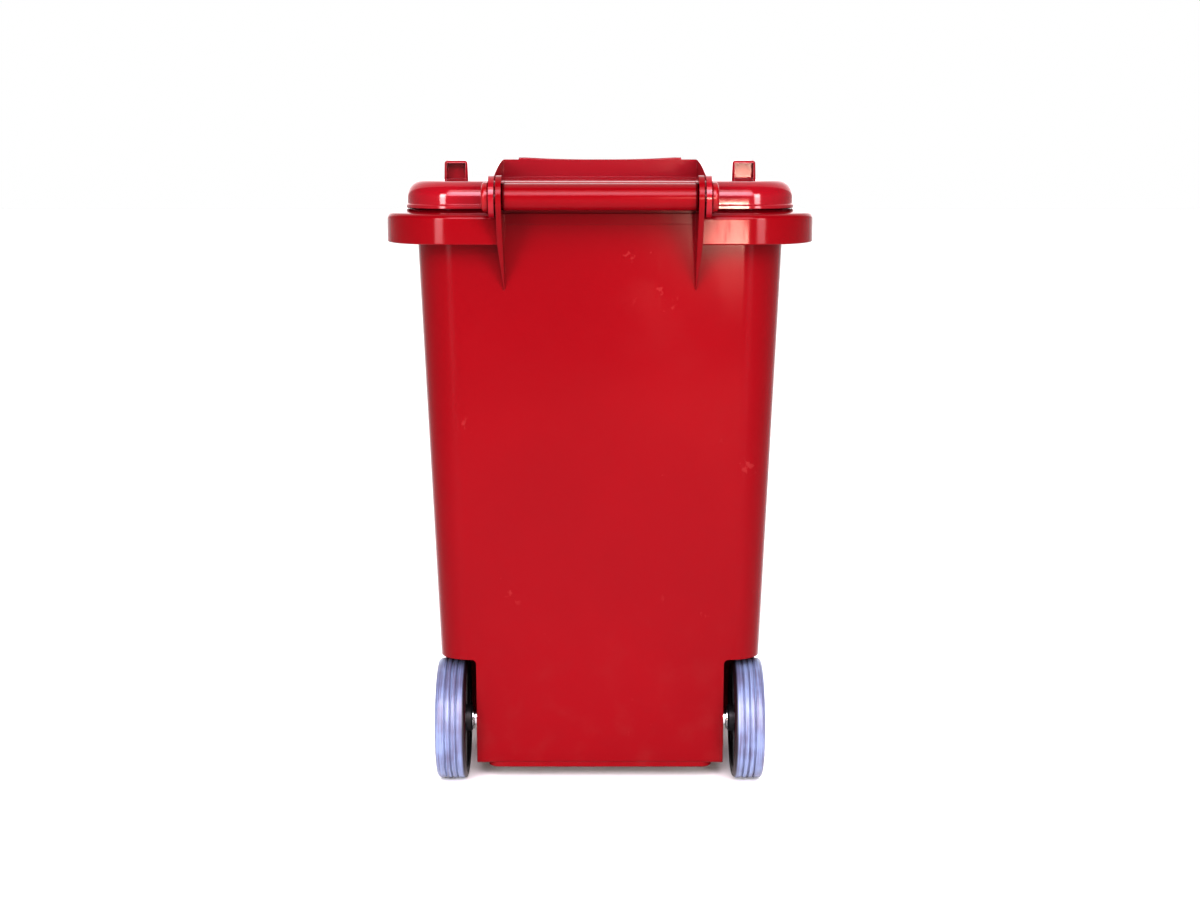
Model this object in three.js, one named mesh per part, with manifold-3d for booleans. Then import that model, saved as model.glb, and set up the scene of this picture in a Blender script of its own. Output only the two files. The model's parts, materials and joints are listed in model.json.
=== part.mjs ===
// Two-wheeled refuse bin of about 60 litres: a moulded tub with its handle, a hinged lid, and two wheels
// on one axle. Millimetres, +Z up, the ground at Z = 0. +Y points to the rear, where the handle and the
// wheels are, and the front faces -Y. Left and right are those of a person who stands behind the bin and
// pushes it, so left is +X.
import * as THREE from 'three';
import { mergeVertices } from 'three/addons/utils/BufferGeometryUtils.js';
import Module from 'manifold-3d';

const wasm = await Module();
wasm.setup();

// ---------------------------------------------------------------- driving dimensions

// Rim of the tub: a sloped top face with a skirt that hangs down all round, open between the handle brackets.
const RIM_WIDTH = 428;
const RIM_DEPTH = 440;
const RIM_TOP = 596.5;
const RIM_FALL = 3.5; // the top face drops this much towards its outer edge
const RIM_EDGE_RADIUS = 5;
const RIM_CORNER = 70;
const SKIRT_HEIGHT = 33;
const SKIRT_WALL = 3.5;
const RIM_OVERHANG = 29; // skirt's outer face to the tub's wall, at the rim
const LEDGE_HEIGHT = 10.5; // ledge along the wall's top between the brackets
const LEDGE_PROUD = 2.2;

// Tub: walls that close in towards the floor.
const WALL = 3.5;
const FLOOR_UNDER = 19.5;
const FLOOR_THICK = 4.5;
const DRAFT = 0.0405; // of the sides and the rear, as a slope
const FRONT_DRAFT = 0.08;
const TUB_CORNER_TOP = 42;
const TUB_CORNER_FLOOR = 28;

// Base: a low frame under the floor, and two feet at the front.
const BASE_FRAME_HALF = 117;
const BASE_FRAME_DROP = 4.5;
const BASE_FRAME_RIB = 6;
const FOOT_LENGTH = 44;
const FOOT_WIDTH = 48;
const FOOT_X = 88;
const FOOT_SETBACK = 16; // front of the foot behind the front wall's foot

// Handle, its brackets, and the lid's hinge on the same axis.
const AXIS_BEHIND = 16; // hinge axis behind the skirt's rear face
const AXIS_ABOVE = 14; // above the rim's top
const HANDLE_RADIUS = 13;
const HANDLE_WALL = 3.5;
const BRACKET_INSIDE = 94.5; // distance of its inner face from the middle
const BRACKET_THICK = 5.5;
const HINGE_DISC = 20.5; // radius of the bracket's and the ear's round ends
const FIN_DROP = 81.5; // tip of the fin below the rim's top
const FIN_TIP = 1.2; // the fin's thickness at its tip
const EAR_GAP = 1.5;
const EAR_THICK = 5.5;
const PIN_RADIUS = 6;
const PIN_HEAD_RADIUS = 14.3;
const PIN_HEAD_LENGTH = 6.2;
const PIN_HEAD_GAP = 0.8;
const PIN_BARB_RADIUS = 7.2;
const PIN_BARB_LENGTH = 9;
const RUNNING_GAP = 0.4; // a round piece that turns in another
const SEAT_GAP = 0.3; // pieces that rest on each other

// Wheels and axle.
const WHEEL_RADIUS = 62.5;
const TYRE_WIDTH = 31;
const TYRE_DEPTH = 6;
const TYRE_SHOULDER = 4;
const TREAD_GROOVES = 3;
const GROOVE_WIDTH = 1.4;
const GROOVE_DEPTH = 1.2;
const WHEEL_INSIDE = 138.5; // tyre's inner side from the middle
const AXLE_AHEAD = 75; // axle ahead of the skirt's rear face
const AXLE_RADIUS = 6;
const SPACER_RADIUS = 8;
const HUB_RIM_WALL = 5;
const HUB_RIM_WIDTH = 30;
const HUB_WEB = 4;
const HUB_WEB_IN = 6; // web nearer the tub than the tyre's middle
const HUB_BOSS_IN = 9.5; // boss's outer end inside the tyre's outer side
const HUB_BOSS_RADIUS = 14;
const HUB_RIBS = 6;
const HUB_RIB_WIDTH = 16;
const HUB_RIB_THICK = 3;
const BUSH_WALL = 2.4;
const WASHER_RADIUS = 12;
const WASHER_THICK = 1.6;
const RETAINER_RADIUS = 10.5;
const RETAINER_LENGTH = 3;
const CAP_WALL = 1.8;
const CAP_GRIP = 3.5; // length over the hub's boss

// Wheel wells in the tub's rear lower corners, and the channel that the axle crosses under the floor.
const WELL_SIDE = 128.5; // well's upright wall from the middle
const WELL_CLEAR = 7.5; // all round the wheel
const WELL_TOE = 145; // front end of the well's sloped toe ahead of the axle
const WELL_TOE_TURN = 15; // degrees below level where the arch runs into the toe
const CHANNEL_HALF = 13;
const CHANNEL_ABOVE = 12; // roof above the axle's centre
const WEB_X = 60;

// Lid: a shell that rests on the rim.
const LID_INSET = 20.5; // lid's wall from the skirt's outer face
const LID_GAP = 0.8; // above the rim
const LID_WALL = 3;
const LID_EDGE = 16; // radius where the wall turns into the top
const LID_CORNER = 48;
const LID_BEAD_HEIGHT = 3.2;
const LID_BEAD_PROUD = 1.2;
const CROWN_RISE = 29; // above the rim's top
const CROWN_RADIUS = 3774;
const CROWN_BACK = 107; // highest line ahead of the lid's rear wall
const LIP_INSIDE_GAP = 3; // locating lip to the tub's inner wall
const LIP_THICK = 2.5;
const LIP_DEPTH = 7; // below the rim's top

// Raised middle of the lid, with the two arms that run back to the hinge.
const HOOD_BACK = 155; // its rear wall ahead of the skirt's rear face
const HOOD_RISE = 47; // top of its rear wall above the rim's top
const HOOD_FALL = 12.5; // from there to its nose
const HOOD_NOSE_AHEAD = 168; // nose ahead of the rear wall
const HOOD_NOSE_RUN = 42;
const HOOD_WALL = 3;
const ARM_START_RISE = 7; // degrees, where the arm's top edge leaves the round ear
const ARM_BEND_BACK = 93; // middle of the arm's bend behind the raised middle
const PANEL_HALF = 85;
const PANEL_RISE = 2.7; // at its ends, and nothing in the middle: the panel is dished
const PANEL_LENGTH = 130;

// Hollow tabs on the lid, open to the rear.
const TAB_X = 145;
const TAB_WIDTH = 24;
const TAB_LENGTH = 40;
const TAB_RISE = 47.2; // above the rim's top
const TAB_WALL = 2.6;
const TAB_HOLLOW = 15; // depth of the hollow from the rear
const TAB_BACK = 75; // rear face ahead of the skirt's rear face

// Grip along the lid's front edge.
const GRIP_HALF = 78;
const GRIP_REACH = 17;
const GRIP_THICK = 4;
const GRIP_LIP = 5;
const GRIP_UNDER_TOP = 8; // grip's top below the crown at the front wall

// Fineness of the round shapes.
const CORNER_STEPS = 6;
const ROUND_STEPS = 40;
const SMALL_STEPS = 24;

// ---------------------------------------------------------------- places worked out from them

const SKIRT_BOTTOM = RIM_TOP - SKIRT_HEIGHT;
const AXIS_Z = RIM_TOP + AXIS_ABOVE;
const CROWN_TOP = RIM_TOP + CROWN_RISE;
const HOOD_TOP = RIM_TOP + HOOD_RISE;
const HOOD_NOSE_TOP = HOOD_TOP - HOOD_FALL;
const TAB_TOP = RIM_TOP + TAB_RISE;
const REAR_REACH = AXIS_BEHIND + HINGE_DISC;
const Y_FRONT = -(RIM_DEPTH + REAR_REACH) / 2;
const Y_SKIRT = Y_FRONT + RIM_DEPTH;
const AXIS_Y = Y_SKIRT + AXIS_BEHIND;
const AXLE_Y = Y_SKIRT - AXLE_AHEAD;
const AXLE_Z = WHEEL_RADIUS;
const BRACKET_OUTSIDE = BRACKET_INSIDE + BRACKET_THICK;
const EAR_INSIDE = BRACKET_OUTSIDE + EAR_GAP;
const EAR_OUTSIDE = EAR_INSIDE + EAR_THICK;
const PIN_HEAD_INSIDE = EAR_OUTSIDE + PIN_HEAD_GAP;
const LID_UNDER = RIM_TOP + LID_GAP;
const LID_REAR = Y_SKIRT - LID_INSET;
const CROWN_Y = LID_REAR - CROWN_BACK;
const HOOD_Y = Y_SKIRT - HOOD_BACK;
const WELL_TOP = AXLE_Z + WHEEL_RADIUS + WELL_CLEAR;
const WELL_RADIUS = WHEEL_RADIUS + WELL_CLEAR;
const TYRE_INNER_RADIUS = WHEEL_RADIUS - TYRE_DEPTH;
const WHEEL_MID = WHEEL_INSIDE + TYRE_WIDTH / 2;
const SPACER_INSIDE = WELL_SIDE + SEAT_GAP;
const HUB_INSIDE = WHEEL_INSIDE - 4;
const INNER_WASHER_INSIDE = HUB_INSIDE - SEAT_GAP - WASHER_THICK;
const SPACER_LENGTH = INNER_WASHER_INSIDE - SEAT_GAP - SPACER_INSIDE;
const HUB_WEB_X = WHEEL_MID - HUB_WEB_IN;
const HUB_OUTSIDE = WHEEL_INSIDE + TYRE_WIDTH - HUB_BOSS_IN;
const WASHER_INSIDE = HUB_OUTSIDE + SEAT_GAP;
const RETAINER_INSIDE = WASHER_INSIDE + WASHER_THICK + SEAT_GAP;
const AXLE_END = RETAINER_INSIDE + RETAINER_LENGTH + 1;
const CAP_OUTSIDE = AXLE_END + 1.5 + CAP_WALL;

// ---------------------------------------------------------------- tools for solids

// A closed three.js geometry as a solid that can be cut and joined.
function solid(geometry) {
  const loose = geometry.index ? geometry.toNonIndexed() : geometry;
  const bare = new THREE.BufferGeometry();
  bare.setAttribute('position', loose.getAttribute('position'));
  const merged = mergeVertices(bare, 1e-4);
  const mesh = new wasm.Mesh({
    numProp: 3,
    vertProperties: merged.attributes.position.array,
    triVerts: new Uint32Array(merged.index.array),
  });
  return new wasm.Manifold(mesh);
}

// A solid as a geometry again.
function geometryOf(shape) {
  const mesh = shape.getMesh();
  const points = new Float32Array(mesh.numVert * 3);
  for (let i = 0; i < mesh.numVert; i++) {
    points.set(mesh.vertProperties.subarray(i * mesh.numProp, i * mesh.numProp + 3), i * 3);
  }
  const geometry = new THREE.BufferGeometry();
  geometry.setAttribute('position', new THREE.BufferAttribute(points, 3));
  geometry.setIndex(new THREE.BufferAttribute(new Uint32Array(mesh.triVerts), 1));
  const flat = geometry.toNonIndexed();
  flat.computeVertexNormals();
  return flat;
}

const joined = (...solids) => solids.reduce((a, b) => a.add(b));

function box(x0, x1, y0, y1, z0, z1) {
  const made = new THREE.BoxGeometry(x1 - x0, y1 - y0, z1 - z0);
  made.translate((x0 + x1) / 2, (y0 + y1) / 2, (z0 + z1) / 2);
  return solid(made);
}

// A shape drawn in Y and Z, made thick along X from x0 to x1.
function plate(shape, x0, x1, steps = SMALL_STEPS / 2) {
  const options = { depth: x1 - x0, bevelEnabled: false, curveSegments: steps };
  const made = new THREE.ExtrudeGeometry(shape, options);
  const turn = new THREE.Matrix4().makeBasis(
    new THREE.Vector3(0, 1, 0),
    new THREE.Vector3(0, 0, 1),
    new THREE.Vector3(1, 0, 0),
  );
  made.applyMatrix4(turn).translate(x0, 0, 0);
  return solid(made);
}

// A cylinder along X from x0 to x1.
function rod(radius, x0, x1, y, z, steps = SMALL_STEPS) {
  const made = new THREE.CylinderGeometry(radius, radius, x1 - x0, steps);
  made.rotateZ(Math.PI / 2).translate((x0 + x1) / 2, y, z);
  return solid(made);
}

// A profile of [radius, x] points, turned round an axis along X at the given Y and Z.
function turned(profile, y, z, steps = ROUND_STEPS) {
  const points = profile.map(([radius, x]) => new THREE.Vector2(radius, x));
  const made = new THREE.LatheGeometry(points, steps);
  made.rotateZ(-Math.PI / 2).translate(0, y, z);
  const shape = solid(made);
  return shape.volume() < 0 ? solid(flipped(made)) : shape;
}

function flipped(geometry) {
  const turnedRound = geometry.clone();
  const index = turnedRound.index.array;
  for (let i = 0; i < index.length; i += 3) [index[i + 1], index[i + 2]] = [index[i + 2], index[i + 1]];
  return turnedRound;
}

// A rounded rectangle seen from above, as points that run counter-clockwise, at a height or heights z(x, y).
function ring({ half, front, rear, corner }, height) {
  const heightAt = typeof height === 'function' ? height : () => height;
  const centres = [
    [half - corner, rear - corner],
    [corner - half, rear - corner],
    [corner - half, front + corner],
    [half - corner, front + corner],
  ];
  return centres.flatMap(([cx, cy], quarter) =>
    Array.from({ length: CORNER_STEPS + 1 }, (_, step) => {
      const angle = (quarter + step / CORNER_STEPS) * (Math.PI / 2);
      const x = cx + corner * Math.cos(angle);
      const y = cy + corner * Math.sin(angle);
      return new THREE.Vector3(x, y, heightAt(x, y));
    }),
  );
}

const inset = (outline, by) => ({
  half: outline.half - by,
  front: outline.front + by,
  rear: outline.rear - by,
  corner: Math.max(outline.corner - by, 1),
});

// A solid skinned over rings of equal length, the lowest first.
function loft(rings) {
  const count = rings[0].length;
  const points = rings.flat();
  const faces = [];
  for (let level = 0; level + 1 < rings.length; level++) {
    for (let i = 0; i < count; i++) {
      const a = level * count + i;
      const b = level * count + ((i + 1) % count);
      faces.push([a, b, b + count], [a, b + count, a + count]);
    }
  }
  const lid = (level) => {
    const outline = rings[level].map((p) => new THREE.Vector2(p.x, p.y));
    return THREE.ShapeUtils.triangulateShape(outline, []).map((face) => face.map((i) => i + level * count));
  };
  faces.push(...lid(0).map(([a, b, c]) => [c, b, a]), ...lid(rings.length - 1));
  const made = new THREE.BufferGeometry().setFromPoints(points);
  made.setIndex(faces.flat());
  return solid(made);
}

const bothSides = (make) => joined(make(1), make(-1));

// x0 and x1 on the side that sign names, the lower one first.
const span = (sign, x0, x1) => (sign > 0 ? [x0, x1] : [-x1, -x0]);

// ---------------------------------------------------------------- tub

const skirtOutline = { half: RIM_WIDTH / 2, front: Y_FRONT, rear: Y_SKIRT, corner: RIM_CORNER };

// The tub's outer wall at a height.
function tubOutline(z) {
  const below = RIM_TOP - z;
  const share = below / (RIM_TOP - FLOOR_UNDER);
  return {
    half: RIM_WIDTH / 2 - RIM_OVERHANG - DRAFT * below,
    front: Y_FRONT + RIM_OVERHANG + FRONT_DRAFT * below,
    rear: Y_SKIRT - RIM_OVERHANG - DRAFT * below,
    corner: TUB_CORNER_TOP + (TUB_CORNER_FLOOR - TUB_CORNER_TOP) * share,
  };
}

const tubLoft = (z0, z1, by = 0) => loft([z0, z1].map((z) => ring(inset(tubOutline(z), by), z)));

function rim() {
  const edge = RIM_TOP - RIM_FALL;
  const rounded = [0, 0.5, 1].map((share) => {
    const angle = (share * Math.PI) / 2;
    const by = RIM_EDGE_RADIUS * (1 - Math.cos(angle));
    return ring(inset(skirtOutline, by), edge - RIM_EDGE_RADIUS * (1 - Math.sin(angle)));
  });
  const topFace = ring(inset(skirtOutline, LID_INSET), RIM_TOP);
  const outside = loft([ring(skirtOutline, SKIRT_BOTTOM), ...rounded, topFace]);
  const roof = edge - SKIRT_WALL;
  const under = inset(skirtOutline, SKIRT_WALL);
  const hollow = loft([ring(under, SKIRT_BOTTOM - 1), ring(under, roof)]);
  const reachBehind = RIM_OVERHANG + 5;
  const gap = box(
    -BRACKET_INSIDE - 1,
    BRACKET_INSIDE + 1,
    tubOutline(SKIRT_BOTTOM).rear + 0.5,
    Y_SKIRT + reachBehind,
    SKIRT_BOTTOM - 2,
    RIM_TOP + 2,
  );
  const wallTop = tubOutline(RIM_TOP).rear;
  const ledge = box(
    -BRACKET_INSIDE - 2,
    BRACKET_INSIDE + 2,
    wallTop - WALL - 1,
    wallTop + LEDGE_PROUD,
    edge - LEDGE_HEIGHT,
    edge,
  );
  return outside.subtract(hollow).subtract(gap).add(ledge);
}

// Side view of a wheel well: an arch over the wheel that runs out through the rear wall.
function wellShape(grow) {
  const shape = new THREE.Shape();
  const behind = AXLE_Y + WELL_RADIUS + 40;
  shape.moveTo(behind, FLOOR_UNDER - 30);
  shape.lineTo(behind, WELL_TOP + grow);
  shape.lineTo(AXLE_Y, WELL_TOP + grow);
  const turn = Math.PI + THREE.MathUtils.degToRad(WELL_TOE_TURN);
  shape.absarc(AXLE_Y, AXLE_Z, WELL_RADIUS + grow, Math.PI / 2, turn, false);
  shape.lineTo(AXLE_Y - WELL_TOE - grow, FLOOR_UNDER + grow);
  shape.lineTo(AXLE_Y - WELL_TOE - grow, FLOOR_UNDER - 30);
  return shape;
}

const wells = (grow) =>
  bothSides((sign) => plate(wellShape(grow), ...span(sign, WELL_SIDE - grow, RIM_WIDTH / 2), 7));

// The axle's channel, as the space inside it grown by a wall.
const channel = (grow) =>
  box(
    -WELL_SIDE + WALL - grow,
    WELL_SIDE - WALL + grow,
    AXLE_Y - CHANNEL_HALF - grow,
    AXLE_Y + CHANNEL_HALF + grow,
    FLOOR_UNDER - 20,
    AXLE_Z + CHANNEL_ABOVE + grow,
  );

// Side view of a handle bracket, with the fin that runs down to a point on the rear wall.
function bracketShape() {
  const wallAt = (z) => tubOutline(z).rear - 1;
  const tipZ = RIM_TOP - FIN_DROP;
  const tip = new THREE.Vector2(wallAt(tipZ), tipZ);
  const toAxis = new THREE.Vector2(AXIS_Y, AXIS_Z).sub(tip);
  const tangent = toAxis.angle() - Math.asin(HINGE_DISC / toAxis.length()) - Math.PI / 2;
  const under = RIM_TOP - RIM_FALL;
  const shape = new THREE.Shape();
  shape.moveTo(wallAt(under), under);
  shape.lineTo(tip.x, tip.y);
  shape.absarc(AXIS_Y, AXIS_Z, HINGE_DISC, tangent, Math.PI, false);
  shape.lineTo(AXIS_Y - HINGE_DISC, under);
  return shape;
}

// The space beside a fin's outer face, which closes in towards the fin's tip.
function finTaper(sign) {
  const tipZ = RIM_TOP - FIN_DROP;
  const beside = BRACKET_OUTSIDE + 5;
  const outline = [
    [BRACKET_OUTSIDE, SKIRT_BOTTOM],
    [beside, SKIRT_BOTTOM],
    [beside, tipZ - 5],
    [BRACKET_INSIDE + FIN_TIP, tipZ - 5],
    [BRACKET_INSIDE + FIN_TIP, tipZ],
  ].map(([x, z]) => new THREE.Vector2(sign * x, z));
  const depth = RIM_OVERHANG + REAR_REACH + 20;
  const made = new THREE.ExtrudeGeometry(new THREE.Shape(outline), { depth, bevelEnabled: false });
  made.rotateX(Math.PI / 2).translate(0, AXIS_Y + HINGE_DISC + 5, 0);
  return solid(made);
}

function base() {
  const floorOutline = tubOutline(FLOOR_UNDER);
  const frameOutline = {
    half: BASE_FRAME_HALF,
    front: floorOutline.front + BASE_FRAME_RIB,
    rear: floorOutline.rear - 1,
    corner: 12,
  };
  const drop = FLOOR_UNDER - BASE_FRAME_DROP;
  const within = inset(frameOutline, BASE_FRAME_RIB);
  const frame = loft([ring(frameOutline, drop), ring(frameOutline, FLOOR_UNDER + 1)]).subtract(
    loft([ring(within, drop - 1), ring(within, FLOOR_UNDER)]),
  );
  const footFront = floorOutline.front + FOOT_SETBACK;
  const foot = (sign) => {
    const outline = { half: FOOT_WIDTH / 2, front: footFront, rear: footFront + FOOT_LENGTH, corner: 8 };
    const made = loft([ring(inset(outline, 1.5), 0), ring(outline, FLOOR_UNDER + 1)]);
    return made.translate([sign * FOOT_X, 0, 0]);
  };
  return frame.add(bothSides(foot));
}

function tub() {
  const axleHoles = rod(AXLE_RADIUS + SEAT_GAP, -RIM_WIDTH / 2, RIM_WIDTH / 2, AXLE_Y, AXLE_Z);
  const cavity = tubLoft(FLOOR_UNDER + FLOOR_THICK, RIM_TOP + 1, WALL)
    .subtract(wells(WALL))
    .subtract(channel(WALL));
  const shell = tubLoft(FLOOR_UNDER, RIM_TOP).add(rim()).subtract(wells(0)).add(base());
  const webs = bothSides((sign) =>
    box(
      ...span(sign, WEB_X - WALL / 2, WEB_X + WALL / 2),
      AXLE_Y - CHANNEL_HALF - 1,
      AXLE_Y + CHANNEL_HALF + 1,
      FLOOR_UNDER + 2,
      AXLE_Z + CHANNEL_ABOVE + 1,
    ),
  );
  const brackets = bothSides((sign) =>
    plate(bracketShape(), ...span(sign, BRACKET_INSIDE, BRACKET_OUTSIDE)).subtract(finTaper(sign)),
  );
  const handle = rod(HANDLE_RADIUS, -BRACKET_INSIDE - 1, BRACKET_INSIDE + 1, AXIS_Y, AXIS_Z, 32);
  const bore = rod(HANDLE_RADIUS - HANDLE_WALL, -BRACKET_INSIDE, BRACKET_INSIDE, AXIS_Y, AXIS_Z);
  const pinHoles = rod(PIN_RADIUS + SEAT_GAP, -RIM_WIDTH / 2, RIM_WIDTH / 2, AXIS_Y, AXIS_Z);
  return shell
    .subtract(cavity)
    .subtract(channel(0))
    .add(webs)
    .subtract(axleHoles)
    .add(brackets)
    .add(handle)
    .subtract(bore)
    .subtract(pinHoles);
}

// ---------------------------------------------------------------- lid

const lidOutline = {
  half: RIM_WIDTH / 2 - LID_INSET,
  front: Y_FRONT + LID_INSET,
  rear: LID_REAR,
  corner: LID_CORNER,
};

const crown = (y) => CROWN_TOP - (y - CROWN_Y) ** 2 / (2 * CROWN_RADIUS);

// The lid's dome, from its foot up, shrunk by a wall for the space inside.
function dome(by, foot) {
  const outline = inset(lidOutline, by);
  const radius = LID_EDGE - by;
  const below = (drop) => (x, y) => crown(y) - by - drop;
  const edge = [0, 0.25, 0.5, 0.75, 1].map((share) => {
    const angle = (share * Math.PI) / 2;
    return ring(inset(outline, radius * (1 - Math.cos(angle))), below(radius * (1 - Math.sin(angle))));
  });
  const shares = [0.3, 0.6, 0.9];
  const reach = Math.min(outline.half, (outline.rear - outline.front) / 2) - radius;
  const across = shares.map((share) => ring(inset(outline, radius + share * reach), below(0)));
  return loft([ring(outline, foot), ...edge, ...across]);
}

// Side view of the raised middle, shrunk by a wall for the space inside.
function hoodShape(by) {
  const foot = RIM_TOP + 12;
  const noseY = HOOD_Y - HOOD_NOSE_AHEAD;
  const shape = new THREE.Shape();
  shape.moveTo(HOOD_Y - by, foot);
  shape.lineTo(HOOD_Y - by, HOOD_TOP - by);
  shape.lineTo(noseY + by / 2, HOOD_NOSE_TOP - by);
  shape.lineTo(noseY - HOOD_NOSE_RUN + by, foot);
  return shape;
}

// Side view of an arm: the round ear, and the bar that rises from it to the raised middle.
function armShape() {
  const shape = new THREE.Shape();
  const rise = THREE.MathUtils.degToRad(ARM_START_RISE);
  const startY = AXIS_Y + HINGE_DISC * Math.sin(rise);
  const startZ = AXIS_Z + HINGE_DISC * Math.cos(rise);
  const bendY = HOOD_Y + ARM_BEND_BACK;
  const bendZ = startZ + (startY - bendY) * Math.tan(rise);
  shape.absarc(AXIS_Y, AXIS_Z, HINGE_DISC, (-3 * Math.PI) / 4, Math.PI / 2 - rise, false);
  shape.quadraticCurveTo(bendY, Math.min(bendZ, HOOD_TOP), HOOD_Y, HOOD_TOP);
  shape.lineTo(HOOD_Y - 10, HOOD_TOP - 1);
  shape.lineTo(HOOD_Y - 10, LID_UNDER + 6);
  shape.lineTo(LID_REAR, LID_UNDER + 2);
  return shape;
}

// The dished panel on the raised middle.
function panel() {
  const sink = 6;
  const sagRadius = (PANEL_HALF ** 2 + PANEL_RISE ** 2) / (2 * PANEL_RISE);
  const halfAngle = Math.asin(PANEL_HALF / sagRadius);
  const shape = new THREE.Shape();
  shape.moveTo(-PANEL_HALF, -sink);
  shape.lineTo(PANEL_HALF, -sink);
  shape.absarc(0, sagRadius, sagRadius, halfAngle - Math.PI / 2, -halfAngle - Math.PI / 2, true);
  const options = { depth: PANEL_LENGTH, bevelEnabled: false, curveSegments: 8 };
  const made = new THREE.ExtrudeGeometry(shape, options);
  const slope = Math.atan2(HOOD_TOP - HOOD_NOSE_TOP, HOOD_NOSE_AHEAD);
  made.rotateX(Math.PI / 2 + slope).translate(0, HOOD_Y, HOOD_TOP);
  return solid(made);
}

function tab(sign) {
  const rear = Y_SKIRT - TAB_BACK;
  const foot = crown(rear) - LID_WALL / 2;
  const outline = (by) => ({ half: TAB_WIDTH / 2 - by, front: rear - TAB_LENGTH + by, rear, corner: 2 });
  const outside = loft([
    ring(outline(0), foot),
    ring(outline(0.6), TAB_TOP - 1.5),
    ring(outline(2), TAB_TOP),
  ]);
  const hollow = box(
    -TAB_WIDTH / 2 + TAB_WALL,
    TAB_WIDTH / 2 - TAB_WALL,
    rear - TAB_HOLLOW,
    rear + 1,
    crown(rear) + 0.2,
    TAB_TOP - TAB_WALL,
  );
  return outside.subtract(hollow).translate([sign * TAB_X, 0, 0]);
}

function grip() {
  const top = crown(lidOutline.front) - GRIP_UNDER_TOP;
  const tip = lidOutline.front - GRIP_REACH;
  const shape = new THREE.Shape();
  shape.moveTo(lidOutline.front + LID_WALL - 0.5, top);
  shape.lineTo(tip + 2, top);
  shape.lineTo(tip, top - 2);
  shape.lineTo(tip, top - GRIP_THICK - GRIP_LIP);
  shape.lineTo(tip + LID_WALL, top - GRIP_THICK - GRIP_LIP);
  shape.lineTo(tip + LID_WALL, top - GRIP_THICK);
  shape.lineTo(lidOutline.front + LID_WALL - 0.5, top - GRIP_THICK);
  return plate(shape, -GRIP_HALF, GRIP_HALF);
}

// The low lip inside the lid that drops into the tub's mouth.
function locatingLip() {
  const mouth = inset(tubOutline(RIM_TOP), WALL + LIP_INSIDE_GAP);
  const under = RIM_TOP - LIP_DEPTH;
  const upTo = (x, y) => crown(y) - LID_WALL + 1;
  const inside = inset(mouth, LIP_THICK);
  const lip = loft([ring(mouth, under), ring(mouth, upTo)]);
  return lip.subtract(loft([ring(inside, under - 1), ring(inside, RIM_TOP + 60)]));
}

function lid() {
  const bead = loft([
    ring(inset(lidOutline, -LID_BEAD_PROUD), LID_UNDER),
    ring(inset(lidOutline, -LID_BEAD_PROUD), LID_UNDER + LID_BEAD_HEIGHT),
    ring(lidOutline, LID_UNDER + LID_BEAD_HEIGHT + LID_BEAD_PROUD),
  ]);
  const hood = plate(hoodShape(0), -EAR_OUTSIDE, EAR_OUTSIDE);
  const hoodInside = plate(hoodShape(HOOD_WALL), -EAR_OUTSIDE + HOOD_WALL, EAR_OUTSIDE - HOOD_WALL);
  const domeInside = dome(LID_WALL, LID_UNDER - 1);
  const outside = joined(dome(0, LID_UNDER), bead, hood, panel());
  const inside = joined(domeInside, hoodInside);
  const armOf = (sign) => plate(armShape(), ...span(sign, EAR_INSIDE, EAR_OUTSIDE));
  const arms = bothSides(armOf).subtract(domeInside);
  const pinHoles = rod(PIN_RADIUS + RUNNING_GAP, -RIM_WIDTH / 2, RIM_WIDTH / 2, AXIS_Y, AXIS_Z);
  return outside
    .subtract(inside)
    .add(locatingLip())
    .add(arms)
    .add(bothSides(tab))
    .add(grip())
    .subtract(pinHoles);
}

// ---------------------------------------------------------------- hinge pins, axle and wheels

// A pin that is pushed in from outside: its head covers the ear, and its barb snaps in behind the bracket.
function hingePin(sign) {
  const barbOutside = BRACKET_INSIDE - SEAT_GAP;
  const head = PIN_HEAD_INSIDE;
  const profile = [
    [0, barbOutside - PIN_BARB_LENGTH],
    [PIN_RADIUS - 1.5, barbOutside - PIN_BARB_LENGTH],
    [PIN_BARB_RADIUS, barbOutside - 2],
    [PIN_BARB_RADIUS, barbOutside],
    [PIN_RADIUS, barbOutside],
    [PIN_RADIUS, head],
    [PIN_HEAD_RADIUS, head],
    [PIN_HEAD_RADIUS, head + PIN_HEAD_LENGTH - 1.5],
    [PIN_HEAD_RADIUS - 1.5, head + PIN_HEAD_LENGTH],
    [0, head + PIN_HEAD_LENGTH],
  ];
  return turned(profile.map(([radius, x]) => [radius, sign * x]), AXIS_Y, AXIS_Z, SMALL_STEPS);
}

const axle = () => rod(AXLE_RADIUS, -AXLE_END, AXLE_END, AXLE_Y, AXLE_Z);

// A tube round the axle on one side.
const sleeve = (sign, outer, inner, x0, length) => {
  const [from, to] = span(sign, x0, x0 + length);
  return rod(outer, from, to, AXLE_Y, AXLE_Z).subtract(rod(inner, from - 1, to + 1, AXLE_Y, AXLE_Z));
};

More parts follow.
